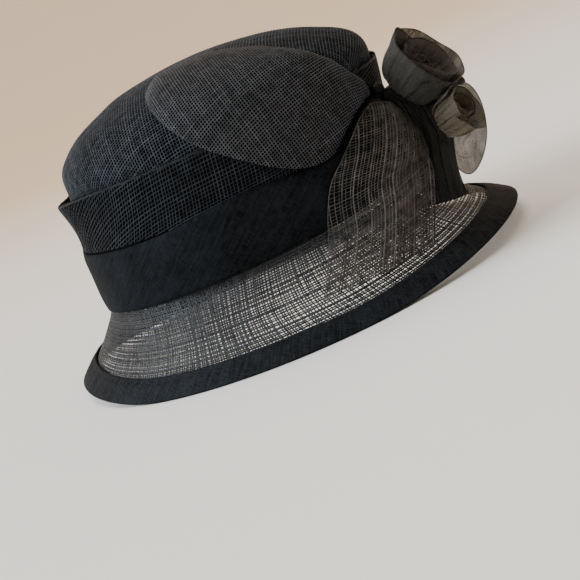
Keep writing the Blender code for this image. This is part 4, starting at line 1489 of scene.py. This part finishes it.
second = 0.0007 * np.exp(-((disc_y + 0.02 - 0.3 * disc_x) / 0.04) ** 2) * np.clip(0.8 - disc_x ** 2, 0.0, 1.0)
crease += second
cup = PETAL_CUP * (disc_x ** 2 + disc_y ** 2) - crease
petal_points = (petal_middle + petal_wide * (PETAL_WIDTH / 2 * disc_x * narrow)[..., None]
                + petal_long * (PETAL_LENGTH / 2 * disc_y)[..., None] + petal_face * cup[..., None])
rose_petal = lay_cloth("rose_petal_sheet", petal_points, wall=0.0004, flip=True)
finish_piece(rose_petal, petal_organza, "organza", "rose_petal")
petal_edge = np.concatenate([petal_points[0, :-1], petal_points[:-1, -1], petal_points[-1, :0:-1],
                             petal_points[:0:-1, 0]])
rim_and_crease_shade_lines = [strand(petal_edge, np.broadcast_to(petal_face, petal_edge.shape), 0.0006, 0.0006, closed=True)]
run = np.linspace(0.0, 1.0, 14)
# Dark cords along these lines are painted shade in the petal's creases.
for first_x, first_y, last_x, last_y, sag in CREASE_SHADE_LINES:
    x = first_x + (last_x - first_x) * run
    y = first_y + (last_y - first_y) * run + sag * np.sin(math.pi * run)
    path = petal_middle + np.outer(x * PETAL_WIDTH / 2, petal_wide)
    path = path + np.outer(y * PETAL_LENGTH / 2, petal_long)
    path = path + np.outer(PETAL_CUP * (x ** 2 + y ** 2) + 0.0001, petal_face)
    width = 0.0004 * np.sin(math.pi * np.clip(run, 0.06, 0.94))
    rim_and_crease_shade_lines.append(strand(path, np.broadcast_to(petal_face, path.shape), width, 0.0003))
petal_rim = weave_piece("rose_petal_rim_and_crease_shade", rim_and_crease_shade_lines)
finish_piece(petal_rim, hem_and_crease_shade_organza, "organza")

# %% [markdown]
# ## The gathered organza
# A dark strip of organza, gathered at the top, falls beside the tail, and more of it is bunched behind the
# flowers. Each layer is a grid between a left and a right edge, with pleats that run down it. Its foot
# would pass through the brim, so every low point is lifted on to the nearest crossing of the brim's
# strands.

# %% The gathered organza
GATHER_DROP = 0.0520
GATHER_WALL = 0.0004
FOOT_CLEAR = 0.0012
FRONT_ROWS = [
    # drop, left x, left y, right x, right y
    (0.10, 0.08, 0.05, 0.40, -0.04), (0.27, 0.16, 0.04, 0.54, -0.15), (0.45, 0.23, 0.01, 0.57, -0.21),
    (0.63, 0.27, -0.04, 0.58, -0.26), (0.80, 0.26, -0.10, 0.53, -0.31), (1.00, 0.24, -0.16, 0.48, -0.35),
    (1.16, 0.25, -0.21, 0.45, -0.37), (1.30, 0.27, -0.26, 0.42, -0.38),
]
BACK_ROWS = [
    # drop, left x, left y, right x, right y
    (0.10, 0.06, 0.05, 0.38, -0.04), (0.27, 0.12, 0.04, 0.50, -0.15), (0.45, 0.16, 0.01, 0.53, -0.21),
    (0.63, 0.16, -0.03, 0.54, -0.26), (0.80, 0.12, -0.08, 0.50, -0.31), (1.00, 0.07, -0.13, 0.47, -0.35),
    (1.16, 0.04, -0.17, 0.46, -0.38), (1.30, 0.04, -0.22, 0.47, -0.40),
]
BEHIND_ROWS = [
    # drop, left x, left y, right x, right y
    (0.02, 0.02, 0.06, 0.24, 0.00), (0.20, -0.02, 0.12, 0.32, -0.04), (0.42, -0.04, 0.16, 0.38, -0.08),
    (0.68, -0.04, 0.16, 0.42, -0.10), (0.98, -0.02, 0.12, 0.42, -0.12),
]


def gather_grid(rows, shift, phase):
    """One layer of the gathered organza, pleated from top to bottom; its foot lies on the brim."""
    u, v = np.meshgrid(np.linspace(0.0, 1.0, 36), np.linspace(0.0, 1.0, 48), indexing="ij")
    drop, left_x, left_y, right_x, right_y = np.moveaxis(curve_rows(rows, u), -1, 0)
    left = np.stack([left_x, left_y, -drop], -1) * GATHER_DROP
    right = np.stack([right_x, right_y, -drop], -1) * GATHER_DROP
    square = unit(np.cross(right - left, [0.0, 0.0, 1.0]))
    full = 0.0028 * np.sin(math.pi * v) + shift
    full = full + 0.0008 * np.sin(v * 21.0 + phase + 2.0 * u) * (1.0 - 0.3 * u)
    points = np.array(knot) + left + (right - left) * v[..., None] + square * full[..., None]
    ground = brim_grid.reshape(-1, 3)
    for row in points:
        nearest = ((row[:, None, :2] - ground[None, :, :2]) ** 2).sum(-1).argmin(-1)
        row[:, 2] = np.maximum(row[:, 2], ground[nearest, 2] + FOOT_CLEAR)
    return points


GATHER_SHEETS = [
    # name, rows, shift, phase, flat width, flat length, solid it stands for
    ("gather_front", FRONT_ROWS, 0.0004, 0.0, 0.030, 0.060, ["organza_gather"]),
    ("gather_back", BACK_ROWS, -0.0010, 2.0, 0.036, 0.060, []),
    ("gather_behind", BEHIND_ROWS, 0.0, 1.0, 0.032, 0.053, []),
]
gathers = []
for name, rows, shift, phase, wide, long, nodes in GATHER_SHEETS:
    gathers.append(lay_cloth(name, gather_grid(rows, shift, phase), wall=GATHER_WALL, flip=True))
    finish_piece(gathers[-1], dark_organza, "organza", *nodes)
rim_path = gather_grid(*GATHER_SHEETS[0][1:4])[:, -1]
rim_face = np.broadcast_to(petal_face, rim_path.shape)
gather_rim = weave_piece("gather_rim", [strand(rim_path, rim_face, 0.0006, 0.0005)])
finish_piece(gather_rim, hem_and_crease_shade_organza, "organza")

# %% [markdown]
# ### The bunch
# The feet of all the petals are pulled together and stitched. A pleated barrel, like the knot but larger,
# stands for them and closes the space behind the flowers.

# %% The bunch under the flowers
BUNCH_ROWS = [(-0.0064, 0.00002), (-0.0060, 0.0022), (-0.0045, 0.0042), (-0.0020, 0.0054), (0.0010, 0.0056),
              (0.0035, 0.0048), (0.0055, 0.0030), (0.0064, 0.00002)]
bunch = knot + Vector((0.0074, 0.0040, -0.0066))
bunch_points = barrel(bunch, ways_of((0.75, -0.25, -0.60)), BUNCH_ROWS, 96, 22, 0.14)
bunch_cloth = lay_cloth("rose_bunch", bunch_points, round_hat=True)
finish_piece(bunch_cloth, dark_organza, "organza", "rose_base")
